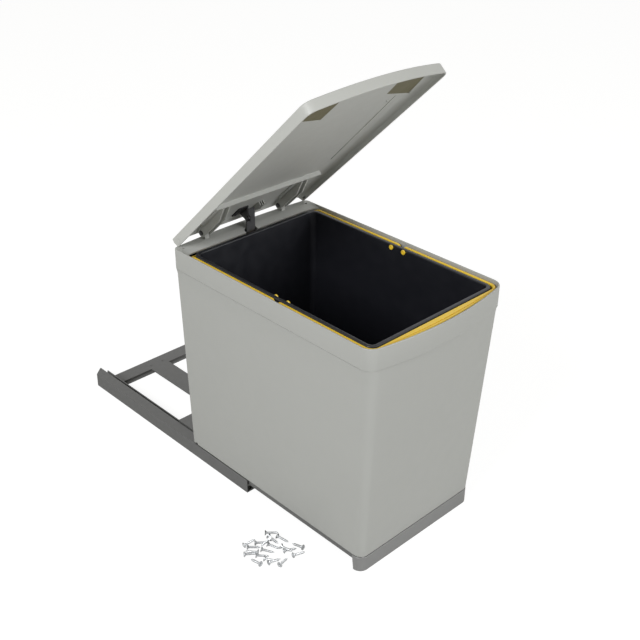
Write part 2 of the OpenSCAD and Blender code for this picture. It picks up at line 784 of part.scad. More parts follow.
// Hinge post: stands on the shelf, with a peg through it and a bore for the hinge pin
module hinge_post(x) {
    back_y = bin_rear_y - edge_r / 2;
    color(shell_grey) difference() {
        union() {
            along_x(x - post_w / 2, x + post_w / 2) union() {
                translate([hinge_y, hinge_z]) circle(d = post_d);
                polygon([[hinge_y - post_d / 2, rim_z], [back_y, rim_z], [back_y, rim_z + post_foot_h],
                    [hinge_y + post_d / 2, hinge_z], [hinge_y - post_d / 2, hinge_z]]);
            }
            translate([x, hinge_y, rim_z - 2 * shelf_t])
                cylinder(d = post_peg_d, h = 2 * shelf_t + post_foot_h);
        }
        translate([0, hinge_y, hinge_z]) pin_x(hinge_pin_d, x - post_w, x + post_w);
    }
}

module left_hinge_post() {
    hinge_post(-post_x);
}

module right_hinge_post() {
    hinge_post(post_x);
}

// Steel hinge pins through the posts and through both ears of each arm, with a thin head at each end
module hinge_pins() {
    head_t = 1;
    head_d = hinge_pin_d + 2 * head_t;
    color(bracket_black) for (side = [-1, 1])
        translate([side * post_x, hinge_y, hinge_z]) {
            pin_x(hinge_pin_d, -ear_out - ear_gap - head_t, ear_out + ear_gap + head_t);
            pin_x(head_d, -ear_out - ear_gap - head_t, -ear_out - ear_gap);
            pin_x(head_d, ear_out + ear_gap, ear_out + ear_gap + head_t);
        }
}

// Guide for the lift strap on the inside of the bin's rear wall
module lift_guide() {
    guide_h = 14;
    guide_z = bin_z + bin_h / 2;
    wall = 2.5;
    x = strap_w / 2 + guide_gap;
    front_y = strap_back_y - strap_thick - guide_gap;
    color(nylon) difference() {
        span([-x - wall, front_y - wall, guide_z], [x + wall, bin_rear_y - bin_wall, guide_z + guide_h]);
        span([-x, front_y, guide_z - over], [x, strap_back_y + guide_gap, guide_z + guide_h + over]);
    }
}

// Rings of the bucket, outside up to its rim and back down inside
function bucket_ring(grow, z) =
    lifted(bowed_outline(bucket_half_w + grow, bucket_front_y - grow, bucket_rear_y + grow,
        bucket_front_r + max(grow, 0), bucket_rear_r + max(grow, 0), 0), z);

// Inner bucket with a turned-down rim and bores for the handle pivots
module inner_bucket() {
    rim_t = bucket_wall;
    color(bucket_black) difference() {
        skin([
            bucket_ring(-bucket_taper - edge_r, bucket_floor_z),
            bucket_ring(-bucket_taper, bucket_floor_z + edge_r),
            bucket_ring(0, bucket_rim_z - rim_t),
            bucket_ring(bucket_flange - rim_t, bucket_rim_z - rim_t),
            bucket_ring(bucket_flange - rim_t, bucket_rim_z - bucket_rim_h),
            bucket_ring(bucket_flange, bucket_rim_z - bucket_rim_h),
            bucket_ring(bucket_flange, bucket_rim_z - edge_r / 2),
            bucket_ring(bucket_flange - edge_r / 2, bucket_rim_z),
            bucket_ring(-bucket_wall + edge_r / 2, bucket_rim_z),
            bucket_ring(-bucket_wall, bucket_rim_z - edge_r),
            bucket_ring(-bucket_wall - bucket_taper, bucket_floor_z + bucket_wall),
        ]);
        for (y = [front_pivot_y, rear_pivot_y])
            translate([0, y, arm_mid_z])
                pin_x(handle_bore_d, -bucket_rim_half - over, bucket_rim_half + over);
    }
}

// Both pivots of a handle: a pin through the bucket's wall and a dimpled button inside
module handle_pivots(y) {
    button_x = -bucket_half_w + bucket_wall + run_gap;
    dimple_d = button_d / 3;
    both_sides() translate([0, y, arm_mid_z]) difference() {
        union() {
            pin_x(handle_pin_d, -arm_in_x - arm_w / 2, button_x + button_t / 2);
            pin_x(button_d, button_x, button_x + button_t);
        }
        pin_x(dimple_d, button_x + button_t / 2, button_x + button_t + over);
    }
}

// Round ends of a handle's side arms
module arm_ends(y) {
    both_sides() along_x(-arm_out_x, -arm_in_x) translate([y, arm_mid_z]) circle(d = arm_h);
}

// Front handle: side arms and a crescent grip along the front rim
module front_handle() {
    z_low = arm_top_z - arm_h;
    end_y = front_pivot_y + arm_past - arm_h / 2;
    out_r = bucket_front_r + bucket_flange + arm_w / 2;
    cut_y = end_y + 2 * out_r;
    color(handle_yellow) {
        difference() {
            translate([0, 0, z_low]) linear_extrude(arm_h) difference() {
                polygon(bowed_outline(arm_out_x, grip_back_y - arm_w, cut_y, out_r, rear_r, grip_bow));
                polygon(bowed_outline(arm_in_x, grip_back_y, cut_y + over, out_r - arm_w, rear_r, 0));
            }
            span([-bin_w, end_y, z_low - over], [bin_w, cut_y + 2 * over, arm_top_z + over]);
        }
        arm_ends(end_y);
        handle_pivots(front_pivot_y);
    }
}

// Rear handle: side arms and a cross run that dips in front of the shelf's lip
module rear_handle() {
    z_low = arm_top_z - arm_h;
    z_dip = z_low - rear_run_drop;
    out_r = bucket_rear_r + bucket_flange + arm_w / 2;
    end_y = rear_pivot_y - arm_past + arm_h / 2;
    cut_y = end_y - 2 * out_r;
    run_back_y = rear_run_y + arm_w;
    color(handle_yellow) {
        difference() {
            translate([0, 0, z_dip]) linear_extrude(arm_top_z - z_dip) difference() {
                polygon(bowed_outline(arm_out_x, cut_y, run_back_y, rear_r, out_r, 0));
                polygon(bowed_outline(arm_in_x, cut_y - over, rear_run_y, rear_r, out_r - arm_w, 0));
            }
            span([-bin_w, cut_y - 2 * over, z_dip - over], [bin_w, end_y, arm_top_z + over]);
            span([-bin_w, end_y - over, z_dip - over], [bin_w, rear_run_y - out_r, z_low]);
            span([-arm_in_x + out_r, rear_run_y - over, arm_top_z - rear_run_drop],
                [arm_in_x - out_r, run_back_y + over, arm_top_z + over]);
        }
        arm_ends(end_y);
        handle_pivots(rear_pivot_y);
    }
}

// Places its children, drawn shut about the hinge axis, at the lid's open angle
module at_lid() {
    translate([0, hinge_y, hinge_z]) rotate([-lid_open, 0, 0]) children();
}

function lid_ring(inset, z) =
    lifted(bowed_outline(lid_half_w - inset, lid_front + inset, lid_rear - inset,
        lid_front_r - inset, lid_rear_r, lid_bow), z);

// Lid: a shallow tray turned down, bowed at the front and open at the back, with a cross rib
module lid_shell() {
    draft = 0.6;
    crown = 1.6;
    rib_t = 2;
    rib_half_w = lid_half_w * rib_share;
    boss_d = 8;
    boss_t = 0.8;
    slant = 6;
    color(shell_grey) at_lid() {
        difference() {
            skin([
                lid_ring(lid_wall + crown, lid_panel_z),
                lid_ring(lid_wall + draft, lid_panel_z - crown),
                lid_ring(lid_wall, lid_skirt_z),
                lid_ring(0, lid_skirt_z),
                lid_ring(draft, lid_top - crown),
                lid_ring(draft + crown / 3, lid_top - crown / 3),
                lid_ring(draft + crown, lid_top),
            ]);
            span([-lid_half_w + lid_wall + draft, lid_rear - lid_wall - 2 * lid_rear_r, lid_skirt_z - over],
                [lid_half_w - lid_wall - draft, lid_rear + over, lid_panel_z - crown]);
            along_x(-lid_w, lid_w) polygon([
                [slant, lid_skirt_z - over], [lid_rear + over, lid_skirt_z - over],
                [lid_rear + over, lid_top - skirt_h / 3], [lid_rear - lid_rear_r / 2, lid_top - skirt_h / 3]
            ]);
        }
        span([-rib_half_w, -rib_y - rib_t / 2, lid_panel_z - rib_h],
            [rib_half_w, -rib_y + rib_t / 2, lid_panel_z + lid_wall / 2]);
        both_sides() pin_x(boss_d, -lid_half_w - boss_t + draft / 2, -lid_half_w + lid_wall);
    }
}

// Hinge arm: a plate under the lid that carries two ears on the hinge pin, the outer one deep
module hinge_arm(side) {
    plate_t = 2;
    plate_half = 16;
    front_y = -rib_y + plate_t;
    deep_share = 0.6;
    deep_y = -rib_y * deep_share;
    ear_profile = [[ear_r, 0], [ear_r, lid_panel_z], [front_y, lid_panel_z],
        [front_y, lid_panel_z - plate_t], [deep_y, -ear_r], [0, -ear_r]];
    color(shell_grey) at_lid() translate([side * post_x, 0, 0]) difference() {
        union() {
            both_sides() along_x(-ear_out, -ear_out + ear_t) union() {
                circle(r = ear_r);
                polygon(ear_profile);
            }
            translate([0, 0, lid_panel_z - plate_t]) linear_extrude(plate_t) polygon([
                [-ear_out, -post_d], [-plate_half, -plate_half - post_d], [-plate_half, front_y],
                [plate_half, front_y], [plate_half, -plate_half - post_d], [ear_out, -post_d]
            ]);
        }
        pin_x(hinge_pin_d + 2 * rivet_clear, -2 * ear_out, 2 * ear_out);
    }
}

module left_hinge_arm() {
    hinge_arm(-1);
}

module right_hinge_arm() {
    hinge_arm(1);
}

// Crank bracket: a foot under the lid and a cheek whose slot points at the hinge axis
module lid_crank() {
    reach = sqrt(pow(crank_y, 2) + pow(lift / 2, 2));
    drop = atan(lift / 2 / crank_y);
    slot_d = crank_pin_d + 2 * slot_gap;
    cheek_r = slot_d / 2 + crank_t;
    foot_share = 0.6;
    foot_front = -crank_y - crank_foot_len * foot_share;
    foot_back = foot_front + crank_foot_len;
    color(bracket_black) at_lid() {
        span([-crank_out_x - crank_foot_w, foot_front, lid_panel_z - crank_t],
            [-crank_in_x, foot_back, lid_panel_z]);
        difference() {
            along_x(-crank_out_x, -crank_in_x) union() {
                polygon([
                    [foot_front, lid_panel_z], [-crank_y - cheek_r, -lift / 2],
                    [-crank_y + cheek_r, -lift / 2], [foot_back, lid_panel_z]
                ]);
                rotate(180 + drop) translate([reach, 0]) circle(r = cheek_r);
            }
            along_x(-crank_out_x - over, -crank_in_x + over) rotate(180 + drop) union() {
                translate([reach + slot_gap / 2, 0]) circle(d = slot_d);
                translate([crank_y - slot_gap / 2, 0]) circle(d = slot_d);
                translate([crank_y - slot_gap / 2, -slot_d / 2]) square([reach - crank_y + slot_gap, slot_d]);
            }
        }
    }
}

// Rivets that hold the crank's foot to the lid
module crank_rivets() {
    head_d = 5;
    head_t = 1;
    rivet_share = 0.7;
    x = crank_out_x + crank_foot_w * rivet_share;
    color(steel_zinc) at_lid() for (side = [-1, 1])
        translate([-x, -crank_y + side * head_d, lid_panel_z - crank_t - head_t])
            cylinder(d = head_d, h = head_t);
}

// Lift strap: a flat bar with an ear for the crank pin at its top and a clevis for the ramp
// roller at its foot
module lift_strap() {
    front_y = strap_back_y - strap_thick;
    top_z = crank_z + strap_top_up;
    fork_top_z = ramp_roller_z + ramp_roller_d;
    low_z = ramp_roller_z - roller_pin_d;
    ear_front_y = pin_y - crank_pin_d;
    color(strap_grey) difference() {
        union() {
            span([-strap_w / 2, front_y, fork_top_z - strap_thick], [strap_w / 2, strap_back_y, top_z]);
            span([-strap_w / 2, ear_front_y, crank_z - crank_pin_d],
                [-strap_w / 2 + strap_thick, strap_back_y, crank_z + crank_pin_d]);
            span([-fork_x - strap_thick, pin_y - roller_pin_d, fork_top_z - strap_thick],
                [fork_x + strap_thick, strap_back_y, fork_top_z]);
            both_sides() span([-fork_x - strap_thick, pin_y - roller_pin_d, low_z],
                [-fork_x, pin_y + roller_pin_d, fork_top_z]);
        }
        translate([0, pin_y, ramp_roller_z]) pin_x(roller_pin_d, -strap_w, strap_w);
        translate([0, pin_y, crank_z]) pin_x(crank_pin_d, -strap_w, 0);
    }
}

// Pin from the strap's ear through the crank's slot, with a thin head
module crank_pin() {
    head_t = 1;
    head_d = crank_pin_d + 2 * head_t;
    head_x = -crank_out_x - run_gap;
    color(steel_zinc) translate([0, pin_y, crank_z]) {
        pin_x(crank_pin_d, head_x - head_t, -strap_w / 2 + strap_thick);
        pin_x(head_d, head_x - head_t, head_x);
    }
}

module ramp_roller_pin() {
    color(steel_zinc) translate([0, pin_y, ramp_roller_z])
        pin_x(roller_pin_d, -fork_x - strap_thick, fork_x + strap_thick);
}

module ramp_roller() {
    color(nylon) translate([0, pin_y, ramp_roller_z]) difference() {
        pin_x(ramp_roller_d, -ramp_roller_w / 2, ramp_roller_w / 2);
        pin_x(roller_pin_d + 2 * rivet_clear, -ramp_roller_w, ramp_roller_w);
    }
}

// A countersunk screw, pointing along Z from the middle of its head's face
module loose_screw() {
    tip_d = screw_d / 4;
    rotate_extrude() polygon([
        [0, 0], [screw_head_d / 2, 0], [screw_d / 2, screw_head_d / 3], [screw_d / 2, screw_len - screw_d],
        [tip_d / 2, screw_len], [0, screw_len]
    ]);
}

// The loose mounting screws: some rest on head and tip, the others lie across their heads
module mounting_screws() {
    lean = atan((screw_head_d - screw_d) / 2 / (screw_len - screw_d));
    low_z = screw_head_d / 2 * cos(lean);
    high_z = 2 * low_z + screw_d / 2 + rest_gap;
    color(steel_zinc) translate([heap_x, heap_y, 0]) {
        for (place = floor_screw_shares)
            translate([place[0] * screw_len, place[1] * screw_len, low_z])
                rotate([0, 90 + lean, place[2]]) loose_screw();
        for (place = raised_screw_shares)
            translate([place[0] * screw_len, place[1] * screw_len, high_z])
                rotate([0, 90, place[2]]) loose_screw();
    }
}

left_fixed_rail();
right_fixed_rail();
rear_cross_member();
front_tie_bar();
lid_ramp_strip();
strip_rivets();
front_roller_rivets();
mounting_screws();
front_left_roller();
front_right_roller();
left_moving_rail();
right_moving_rail();
rear_cross_plate();
front_cross_plate();
front_strip();
rear_roller_rivets();
rear_left_roller();
rear_right_roller();
outer_bin();
bin_fixing_screws();
left_hinge_post();
right_hinge_post();
hinge_pins();
lift_guide();
inner_bucket();
front_handle();
rear_handle();
lid_shell();
left_hinge_arm();
right_hinge_arm();
lid_crank();
crank_rivets();
lift_strap();
crank_pin();
ramp_roller();
ramp_roller_pin();
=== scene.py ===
import json
import math

import bmesh
import bpy
from mathutils import Matrix, Vector


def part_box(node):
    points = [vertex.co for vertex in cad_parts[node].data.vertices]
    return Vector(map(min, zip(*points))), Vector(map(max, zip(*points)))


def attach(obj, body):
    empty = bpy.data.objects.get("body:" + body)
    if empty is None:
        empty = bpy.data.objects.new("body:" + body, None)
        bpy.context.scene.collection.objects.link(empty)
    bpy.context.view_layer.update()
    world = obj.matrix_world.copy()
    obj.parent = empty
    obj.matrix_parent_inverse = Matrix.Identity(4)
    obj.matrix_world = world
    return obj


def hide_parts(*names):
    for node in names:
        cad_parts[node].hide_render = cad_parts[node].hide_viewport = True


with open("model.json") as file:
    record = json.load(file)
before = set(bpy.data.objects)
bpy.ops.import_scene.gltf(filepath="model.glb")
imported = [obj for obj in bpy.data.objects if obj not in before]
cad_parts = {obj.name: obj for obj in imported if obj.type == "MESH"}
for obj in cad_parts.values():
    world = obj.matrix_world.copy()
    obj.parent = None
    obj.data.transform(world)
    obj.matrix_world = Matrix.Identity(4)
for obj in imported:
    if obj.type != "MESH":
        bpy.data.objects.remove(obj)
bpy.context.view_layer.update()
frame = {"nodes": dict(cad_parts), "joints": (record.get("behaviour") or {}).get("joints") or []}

# Fixed frame. Two C rails, a cross member, a tie bar and the centre strip, folded from
# sheet steel and dip-coated in dark grey. It is screwed to the cabinet floor.
mm = 0.001
frame_grey = (0.138, 0.138, 0.136)


def node_tree(material, roughness, metallic=0.0):
    """Clears a material and returns its node tree and its surface shader."""
    material.use_nodes = True
    tree = material.node_tree
    tree.nodes.clear()
    out = tree.nodes.new("ShaderNodeOutputMaterial")
    shader = tree.nodes.new("ShaderNodeBsdfPrincipled")
    shader.inputs["Roughness"].default_value = roughness
    shader.inputs["Metallic"].default_value = metallic
    tree.links.new(shader.outputs["BSDF"], out.inputs["Surface"])
    return tree, shader


def noise(tree, scale, detail=3.0):
    """Noise over the object's own metres."""
    place = tree.nodes.new("ShaderNodeTexCoord")
    texture = tree.nodes.new("ShaderNodeTexNoise")
    texture.inputs["Scale"].default_value = scale
    texture.inputs["Detail"].default_value = detail
    tree.links.new(place.outputs["Object"], texture.inputs["Vector"])
    return texture.outputs["Fac"]


def tint(tree, shader, value, colour, change):
    """Lets a colour drift a little lighter and darker with a noise value."""
    mix = tree.nodes.new("ShaderNodeMix")
    mix.data_type = "RGBA"
    mix.inputs["A"].default_value = (*[c * (1 - change) for c in colour], 1)
    mix.inputs["B"].default_value = (*[min(1, c * (1 + change)) for c in colour], 1)
    tree.links.new(value, mix.inputs["Factor"])
    tree.links.new(mix.outputs["Result"], shader.inputs["Base Color"])


def shine(tree, shader, value, smooth, rough):
    """Lets the roughness drift between two values, over the middle of a noise's range."""
    noise_low = 0.3
    noise_high = 0.7
    ranged = tree.nodes.new("ShaderNodeMapRange")
    ranged.inputs["From Min"].default_value = noise_low
    ranged.inputs["From Max"].default_value = noise_high
    ranged.inputs["To Min"].default_value = smooth
    ranged.inputs["To Max"].default_value = rough
    tree.links.new(value, ranged.inputs["Value"])
    tree.links.new(ranged.outputs["Result"], shader.inputs["Roughness"])


def grain(tree, shader, value, depth):
    """Raises a fine grain on a surface."""
    strength = 0.6
    bump = tree.nodes.new("ShaderNodeBump")
    bump.inputs["Distance"].default_value = depth
    bump.inputs["Strength"].default_value = strength
    tree.links.new(value, bump.inputs["Height"])
    tree.links.new(bump.outputs["Normal"], shader.inputs["Normal"])


def coated_steel(name, colour, roughness=0.42):
    """Sheet steel under a thin satin coat: slight clouding, fine orange peel."""
    cloud_scale = 28
    clouding = 0.07
    shine_scale = 140
    shine_drift = 0.07
    peel_scale = 900
    peel_depth = 0.02 * mm
    material = bpy.data.materials.new(name)
    tree, shader = node_tree(material, roughness)
    tint(tree, shader, noise(tree, cloud_scale), colour, clouding)
    shine(tree, shader, noise(tree, shine_scale), roughness - shine_drift, roughness + shine_drift)
    grain(tree, shader, noise(tree, peel_scale), peel_depth)
    return material


def finish(material, *nodes):
    """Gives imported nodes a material."""
    for node in nodes:
        for place in frame["nodes"][node].material_slots:
            place.material = material


frame_coat = coated_steel("frame_coat", frame_grey)
finish(frame_coat, "left_fixed_rail", "right_fixed_rail")
finish(frame_coat, "rear_cross_member", "front_tie_bar", "lid_ramp_strip")

# Rivets and rollers of the fixed frame. Steel rivets in the frame's dark coat hold nylon
# rollers on the front ends of the rails; two small ones hold the centre strip.
nylon_white = (0.72, 0.72, 0.68)


def moulded_plastic(name, colour, roughness, depth=0.02, clouding=0.02):
    """Injection-moulded plastic with a fine spark-eroded grain, its depth in millimetres."""
    cloud_scale = 9
    shine_scale = 60
    shine_drift = 0.05
    spark_scale = 1600
    spark_detail = 2
    material = bpy.data.materials.new(name)
    tree, shader = node_tree(material, roughness)
    tint(tree, shader, noise(tree, cloud_scale), colour, clouding)
    shine(tree, shader, noise(tree, shine_scale), roughness - shine_drift, roughness + shine_drift)
    grain(tree, shader, noise(tree, spark_scale, spark_detail), depth * mm)
    return material


nylon = moulded_plastic("nylon_natural", nylon_white, roughness=0.4)
finish(frame_coat, "strip_rivets", "front_roller_rivets")
finish(nylon, "front_left_roller", "front_right_roller")

# Carriage. Two folded rails run in the fixed ones and carry a plate at each end, all in the
# same dark coat. The rivets of its nylon rollers and the bin's screws are zinc-plated steel.
zinc_grey = (0.62, 0.63, 0.64)


def zinc_plating(name, colour, roughness=0.3):
    """Bright zinc: metal with a fine matt crystal and uneven shine."""
    crystal_scale = 400
    clouding = 0.12
    shine_scale = 700
    brighter = 0.1
    duller = 0.15
    pitting_scale = 2500
    pitting_depth = 0.01 * mm
    material = bpy.data.materials.new(name)
    tree, shader = node_tree(material, roughness, metallic=1.0)
    tint(tree, shader, noise(tree, crystal_scale), colour, clouding)
    shine(tree, shader, noise(tree, shine_scale), roughness - brighter, roughness + duller)
    grain(tree, shader, noise(tree, pitting_scale), pitting_depth)
    return material


zinc = zinc_plating("zinc_plating", zinc_grey)
finish(frame_coat, "left_moving_rail", "right_moving_rail", "rear_cross_plate", "front_cross_plate")
finish(zinc, "rear_roller_rivets", "bin_fixing_screws")
finish(nylon, "rear_left_roller", "rear_right_roller")

# Outer bin. A deep grey tub, injection-moulded, with a collar round the rim and walls that
# draw in to the foot. Its front swells outwards from the foot to the rim.
bin_low, bin_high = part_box("outer_bin")
bin_half = bin_high.x
rear_bow = 5 * mm
rear_y = bin_high.y - rear_bow
rim_bow = 11.5 * mm
corner_y = bin_low.y + rim_bow
collar_h = 30 * mm
collar_z = bin_high.z - collar_h
collar_in = 0.4 * mm
step_h = 7 * mm
side_step = 2 * mm
corner_step = 0.8 * mm
under_z = collar_z - step_h
under_half = bin_half - side_step
under_corner_y = corner_y + corner_step
under_bow = 8.8 * mm
side_taper = 12.5 * mm
front_taper = 15.4 * mm
foot_half = bin_half - side_taper
foot_y = corner_y + front_taper
front_r = 18 * mm
foot_r = 12 * mm
rear_r = 8 * mm
bin_wall = 2.2 * mm
bin_floor = 2.5 * mm
bin_grey = (0.42, 0.425, 0.405)


def arc(cx, cy, r, start, end, steps):
    """Points of an arc in a plan, from one angle to another in degrees."""
    turns = [math.radians(start + (end - start) * i / steps) for i in range(steps + 1)]
    return [(cx + r * math.cos(a), cy + r * math.sin(a)) for a in turns]


def bow_points(end_x, end_y, bow, steps):
    """Points of a shallow bow between two corners, without its ends."""
    shares = [2 * i / steps - 1 for i in range(1, steps)]
    return [(end_x * share, end_y + bow * (1 - share * share)) for share in shares]


def bowed_outline(half, front, rear, r_front, r_rear, bow, inset=0.0, back_bow=0.0):
    """Plan outline: rounded corners, and front and rear edges that bow outwards."""
    least_r = 0.5 * mm
    front_steps = 14
    bow_steps = 28
    rear_steps = 10
    back_bow_steps = 16
    half, front, rear = half - inset, front + inset, rear - inset
    r_front, r_rear = max(r_front - inset, least_r), max(r_rear - inset, least_r)
    kink = math.atan(2 * bow / (half - r_front))
    end_x = half - r_front + r_front * math.sin(kink)
    end_y = front + r_front - r_front * math.cos(kink)
    back_kink = math.atan(2 * back_bow / (half - r_rear))
    back_x = half - r_rear + r_rear * math.sin(back_kink)
    back_y = rear - r_rear + r_rear * math.cos(back_kink)
    kink, back_kink = math.degrees(kink), math.degrees(back_kink)
    return (
        arc(-half + r_front, front + r_front, r_front, 180, 270 - kink, front_steps)
        + bow_points(end_x, end_y, -bow, bow_steps)
        + arc(half - r_front, front + r_front, r_front, 270 + kink, 360, front_steps)
        + arc(half - r_rear, rear - r_rear, r_rear, 0, 90 - back_kink, rear_steps)
        + bow_points(-back_x, back_y, back_bow, back_bow_steps)
        + arc(-half + r_rear, rear - r_rear, r_rear, 90 + back_kink, 180, rear_steps)
    )


def add_skin(mesh_data, rings):
    """Adds a closed skin over rings of equally many points."""
    rows = [[mesh_data.verts.new(p) for p in ring] for ring in rings]
    count = len(rows[0])
    for below, above in zip(rows, rows[1:]):
        for i in range(count):
            j = (i + 1) % count
            mesh_data.faces.new((below[i], below[j], above[j], above[i]))
    mesh_data.faces.new(rows[0])
    mesh_data.faces.new(rows[-1])


def free_object(name, mesh_data):
    """Makes an object of a bmesh."""
    mesh = bpy.data.meshes.new(name)
    bmesh.ops.recalc_face_normals(mesh_data, faces=mesh_data.faces)
    mesh_data.to_mesh(mesh)
    mesh_data.free()
    piece = bpy.data.objects.new(name, mesh)
    bpy.context.scene.collection.objects.link(piece)
    return piece


def carve(piece, skins):
    """Cuts closed skins out of a piece, each given as its rings."""
    for rings in skins:
        shape = bmesh.new()
        add_skin(shape, rings)
        cutter = free_object("cutter", shape)
        cut = piece.modifiers.new("cut", "BOOLEAN")
        cut.object = cutter
        cut.solver = "EXACT"
        view = bpy.context.evaluated_depsgraph_get()
        carved = bpy.data.meshes.new_from_object(piece.evaluated_get(view))
        piece.modifiers.remove(cut)
        piece.data = carved
        bpy.data.objects.remove(cutter)


def new_piece(name, mesh_data, material, body, *replaced, slot=None, cuts=()):
    """Makes a piece of a bmesh, cuts it and gives it its material and body; its slot is not used."""
    sharp_angle = math.radians(32)
    piece = free_object(name, mesh_data)
    carve(piece, cuts)
    mesh = piece.data
    mesh.materials.clear()
    mesh.materials.append(material)
    mesh.shade_smooth()
    mesh.set_sharp_from_angle(angle=sharp_angle)
    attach(piece, body)
    if replaced:
        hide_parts(*replaced)
    return piece


def at_height(outline, z):
    """Lifts a plan outline to a height."""
    return [(x, y, z) for x, y in outline]


def quarter(r, steps=4):
    """Distances in and up along a rounded edge, as pairs."""
    turns = [math.pi / 2 * i / steps for i in range(steps + 1)]
    return [(r * (1 - math.sin(a)), r * (1 - math.cos(a))) for a in turns]


def box_rings(low, high):
    """A box, as the rings of a closed skin."""
    corners = ((low[0], low[1]), (high[0], low[1]), (high[0], high[1]), (low[0], high[1]))
    return [at_height(corners, low[2]), at_height(corners, high[2])]


def bin_ring(z, inset=0.0):
    """The bin's outline at a height, between its foot and the rim."""
    if z >= collar_z:
        outline = bowed_outline(
            bin_half, corner_y, rear_y, front_r, rear_r, rim_bow, inset, rear_bow)
        return at_height(outline, z)
    if z >= under_z:
        share = (z - under_z) / (collar_z - under_z)
        half = under_half + share * (bin_half - collar_in - under_half)
        outline = bowed_outline(
            half, under_corner_y, rear_y, front_r, rear_r, under_bow, inset, rear_bow * share)
        return at_height(outline, z)
    share = (z - bin_low.z) / (under_z - bin_low.z)
    half = foot_half + share * (under_half - foot_half)
    front = foot_y + share * (under_corner_y - foot_y)
    r = foot_r + share * (front_r - foot_r)
    return at_height(bowed_outline(half, front, rear_y, r, rear_r, under_bow * share, inset), z)


# The skin runs up the outside, over the rim and down the inside.
foot_edge = 2.5 * mm
wall_shares = (0.1, 0.3, 0.5, 0.7, 0.9)
collar_foot_h = 3 * mm
crease = 0.01 * mm
lip_edge = 1.2 * mm
rim_edge = 1.1 * mm
floor_cove_h = 8 * mm
floor_cove_in = 4 * mm
outside = [bin_ring(bin_low.z + up, inset) for inset, up in quarter(foot_edge)]
outside += [bin_ring(bin_low.z + share * (under_z - bin_low.z)) for share in wall_shares]
outside += [bin_ring(under_z), bin_ring(collar_z - collar_foot_h), bin_ring(collar_z - crease)]
outside += [bin_ring(collar_z + up, inset) for inset, up in quarter(lip_edge)]
outside += [bin_ring(bin_high.z - rim_edge)]
outside += [bin_ring(bin_high.z - up, inset) for inset, up in reversed(quarter(rim_edge))][1:]
inside = [bin_ring(bin_high.z - up, bin_wall - inset) for inset, up in quarter(rim_edge)][1:]
inside += [bin_ring(collar_z, bin_wall), bin_ring(under_z, bin_wall)]
inside += [bin_ring(bin_low.z + bin_floor + floor_cove_h, bin_wall)]
inside += [bin_ring(bin_low.z + bin_floor, bin_wall + floor_cove_in)]
tub_mesh = bmesh.new()
add_skin(tub_mesh, outside + inside)

# A notch in each side of the foot, behind, and the lift strap's hole in the floor.
overrun = 1 * mm
foot_notch_y = rear_y - rear_r
foot_notch_d = 6 * mm
foot_notch_h = 4 * mm
foot_notch_in = 4 * mm
strap_hole_half = 9 * mm
strap_hole_in = 22.5 * mm
strap_hole_y = rear_y - strap_hole_in
strap_hole_d = 14 * mm
strap_hole_h = 5 * mm
tub_cuts = [box_rings(
    (side * foot_half - foot_notch_in, foot_notch_y - foot_notch_d, bin_low.z - overrun),
    (side * foot_half + foot_notch_in, foot_notch_y, bin_low.z + foot_notch_h),
) for side in (-1, 1)]
tub_cuts.append(box_rings(
    (-strap_hole_half, strap_hole_y - strap_hole_d / 2, bin_low.z - overrun),
    (strap_hole_half, strap_hole_y + strap_hole_d / 2, bin_low.z + strap_hole_h)))
bin_plastic = moulded_plastic("bin_grey_plastic", bin_grey, roughness=0.45)
new_piece(
    "outer_bin_tub", tub_mesh, bin_plastic, "carriage", "outer_bin",
    slot="shell_grey", cuts=tub_cuts)

# Hinge shelf. Moulded across the back of the bin: a flat ledge with a hole at each end, then a
# slope down to a lip, swept forward into the side walls. It is notched for the lift strap.
shelf_flat = 10.5 * mm
shelf_d = 22 * mm
shelf_drop = 4 * mm
shelf_t = 2 * mm
lip_h = 2.5 * mm
lip_round_d = 0.8 * mm
lip_round_h = 0.5 * mm
lip_shoulder = 0.2 * mm
sweep_r = 14 * mm
crease_r = 0.7 * mm
crease_drop = 0.4 * mm
crease_follows = 0.6
into_wall = 0.3 * mm
into_rim = 0.9 * mm
shelf_end = bin_half - bin_wall + into_wall
shelf_hole_in = 10 * mm
shelf_hole_x = bin_half - shelf_hole_in
shelf_hole_r = 2 * mm
hole_points = 24
notch_left = -12.1 * mm
notch_right = 9.1 * mm
notch_in = 14.9 * mm
notch_back = rear_y - notch_in


def rear_edge(x):
    """The rim's rear edge at a place across the bin."""
    past = abs(x) - (bin_half - rear_r)
    if past <= 0:
        return rear_y + rear_bow * (1 - (x / (bin_half - rear_r)) ** 2)
    return rear_y - rear_r + math.sqrt(rear_r ** 2 - past ** 2)


def shelf_section(x, front=None):
    """The shelf's section at a place across the bin, or what of it lies behind a front line."""
    past = min(1, max(0.0, abs(x) - (shelf_end - sweep_r)) / sweep_r)
    forward = sweep_r * (1 - math.sqrt(1 - past ** 2))
    crease_y = rear_y - shelf_flat - forward * crease_follows
    lip_y = rear_y - shelf_d - forward
    top = bin_high.z
    lip_top = top - shelf_drop
    back_y = rear_edge(x) - into_rim
    if front is not None:
        low = top - shelf_drop * (crease_y - front) / (crease_y - lip_y)
        return [(x, back_y, top), (x, crease_y, top), (x, front, low), (x, front, low - shelf_t),
                (x, crease_y, top - shelf_t), (x, back_y, top - shelf_t)]
    return [
        (x, back_y, top), (x, crease_y + crease_r, top), (x, crease_y - crease_r, top - crease_drop),
        (x, lip_y + lip_round_d, lip_top + lip_shoulder), (x, lip_y, lip_top - lip_round_h),
        (x, lip_y, lip_top - lip_h), (x, lip_y + shelf_t, lip_top - lip_h),
        (x, lip_y + shelf_t, lip_top - shelf_t / 2), (x, crease_y, top - shelf_t),
        (x, back_y, top - shelf_t),
    ]


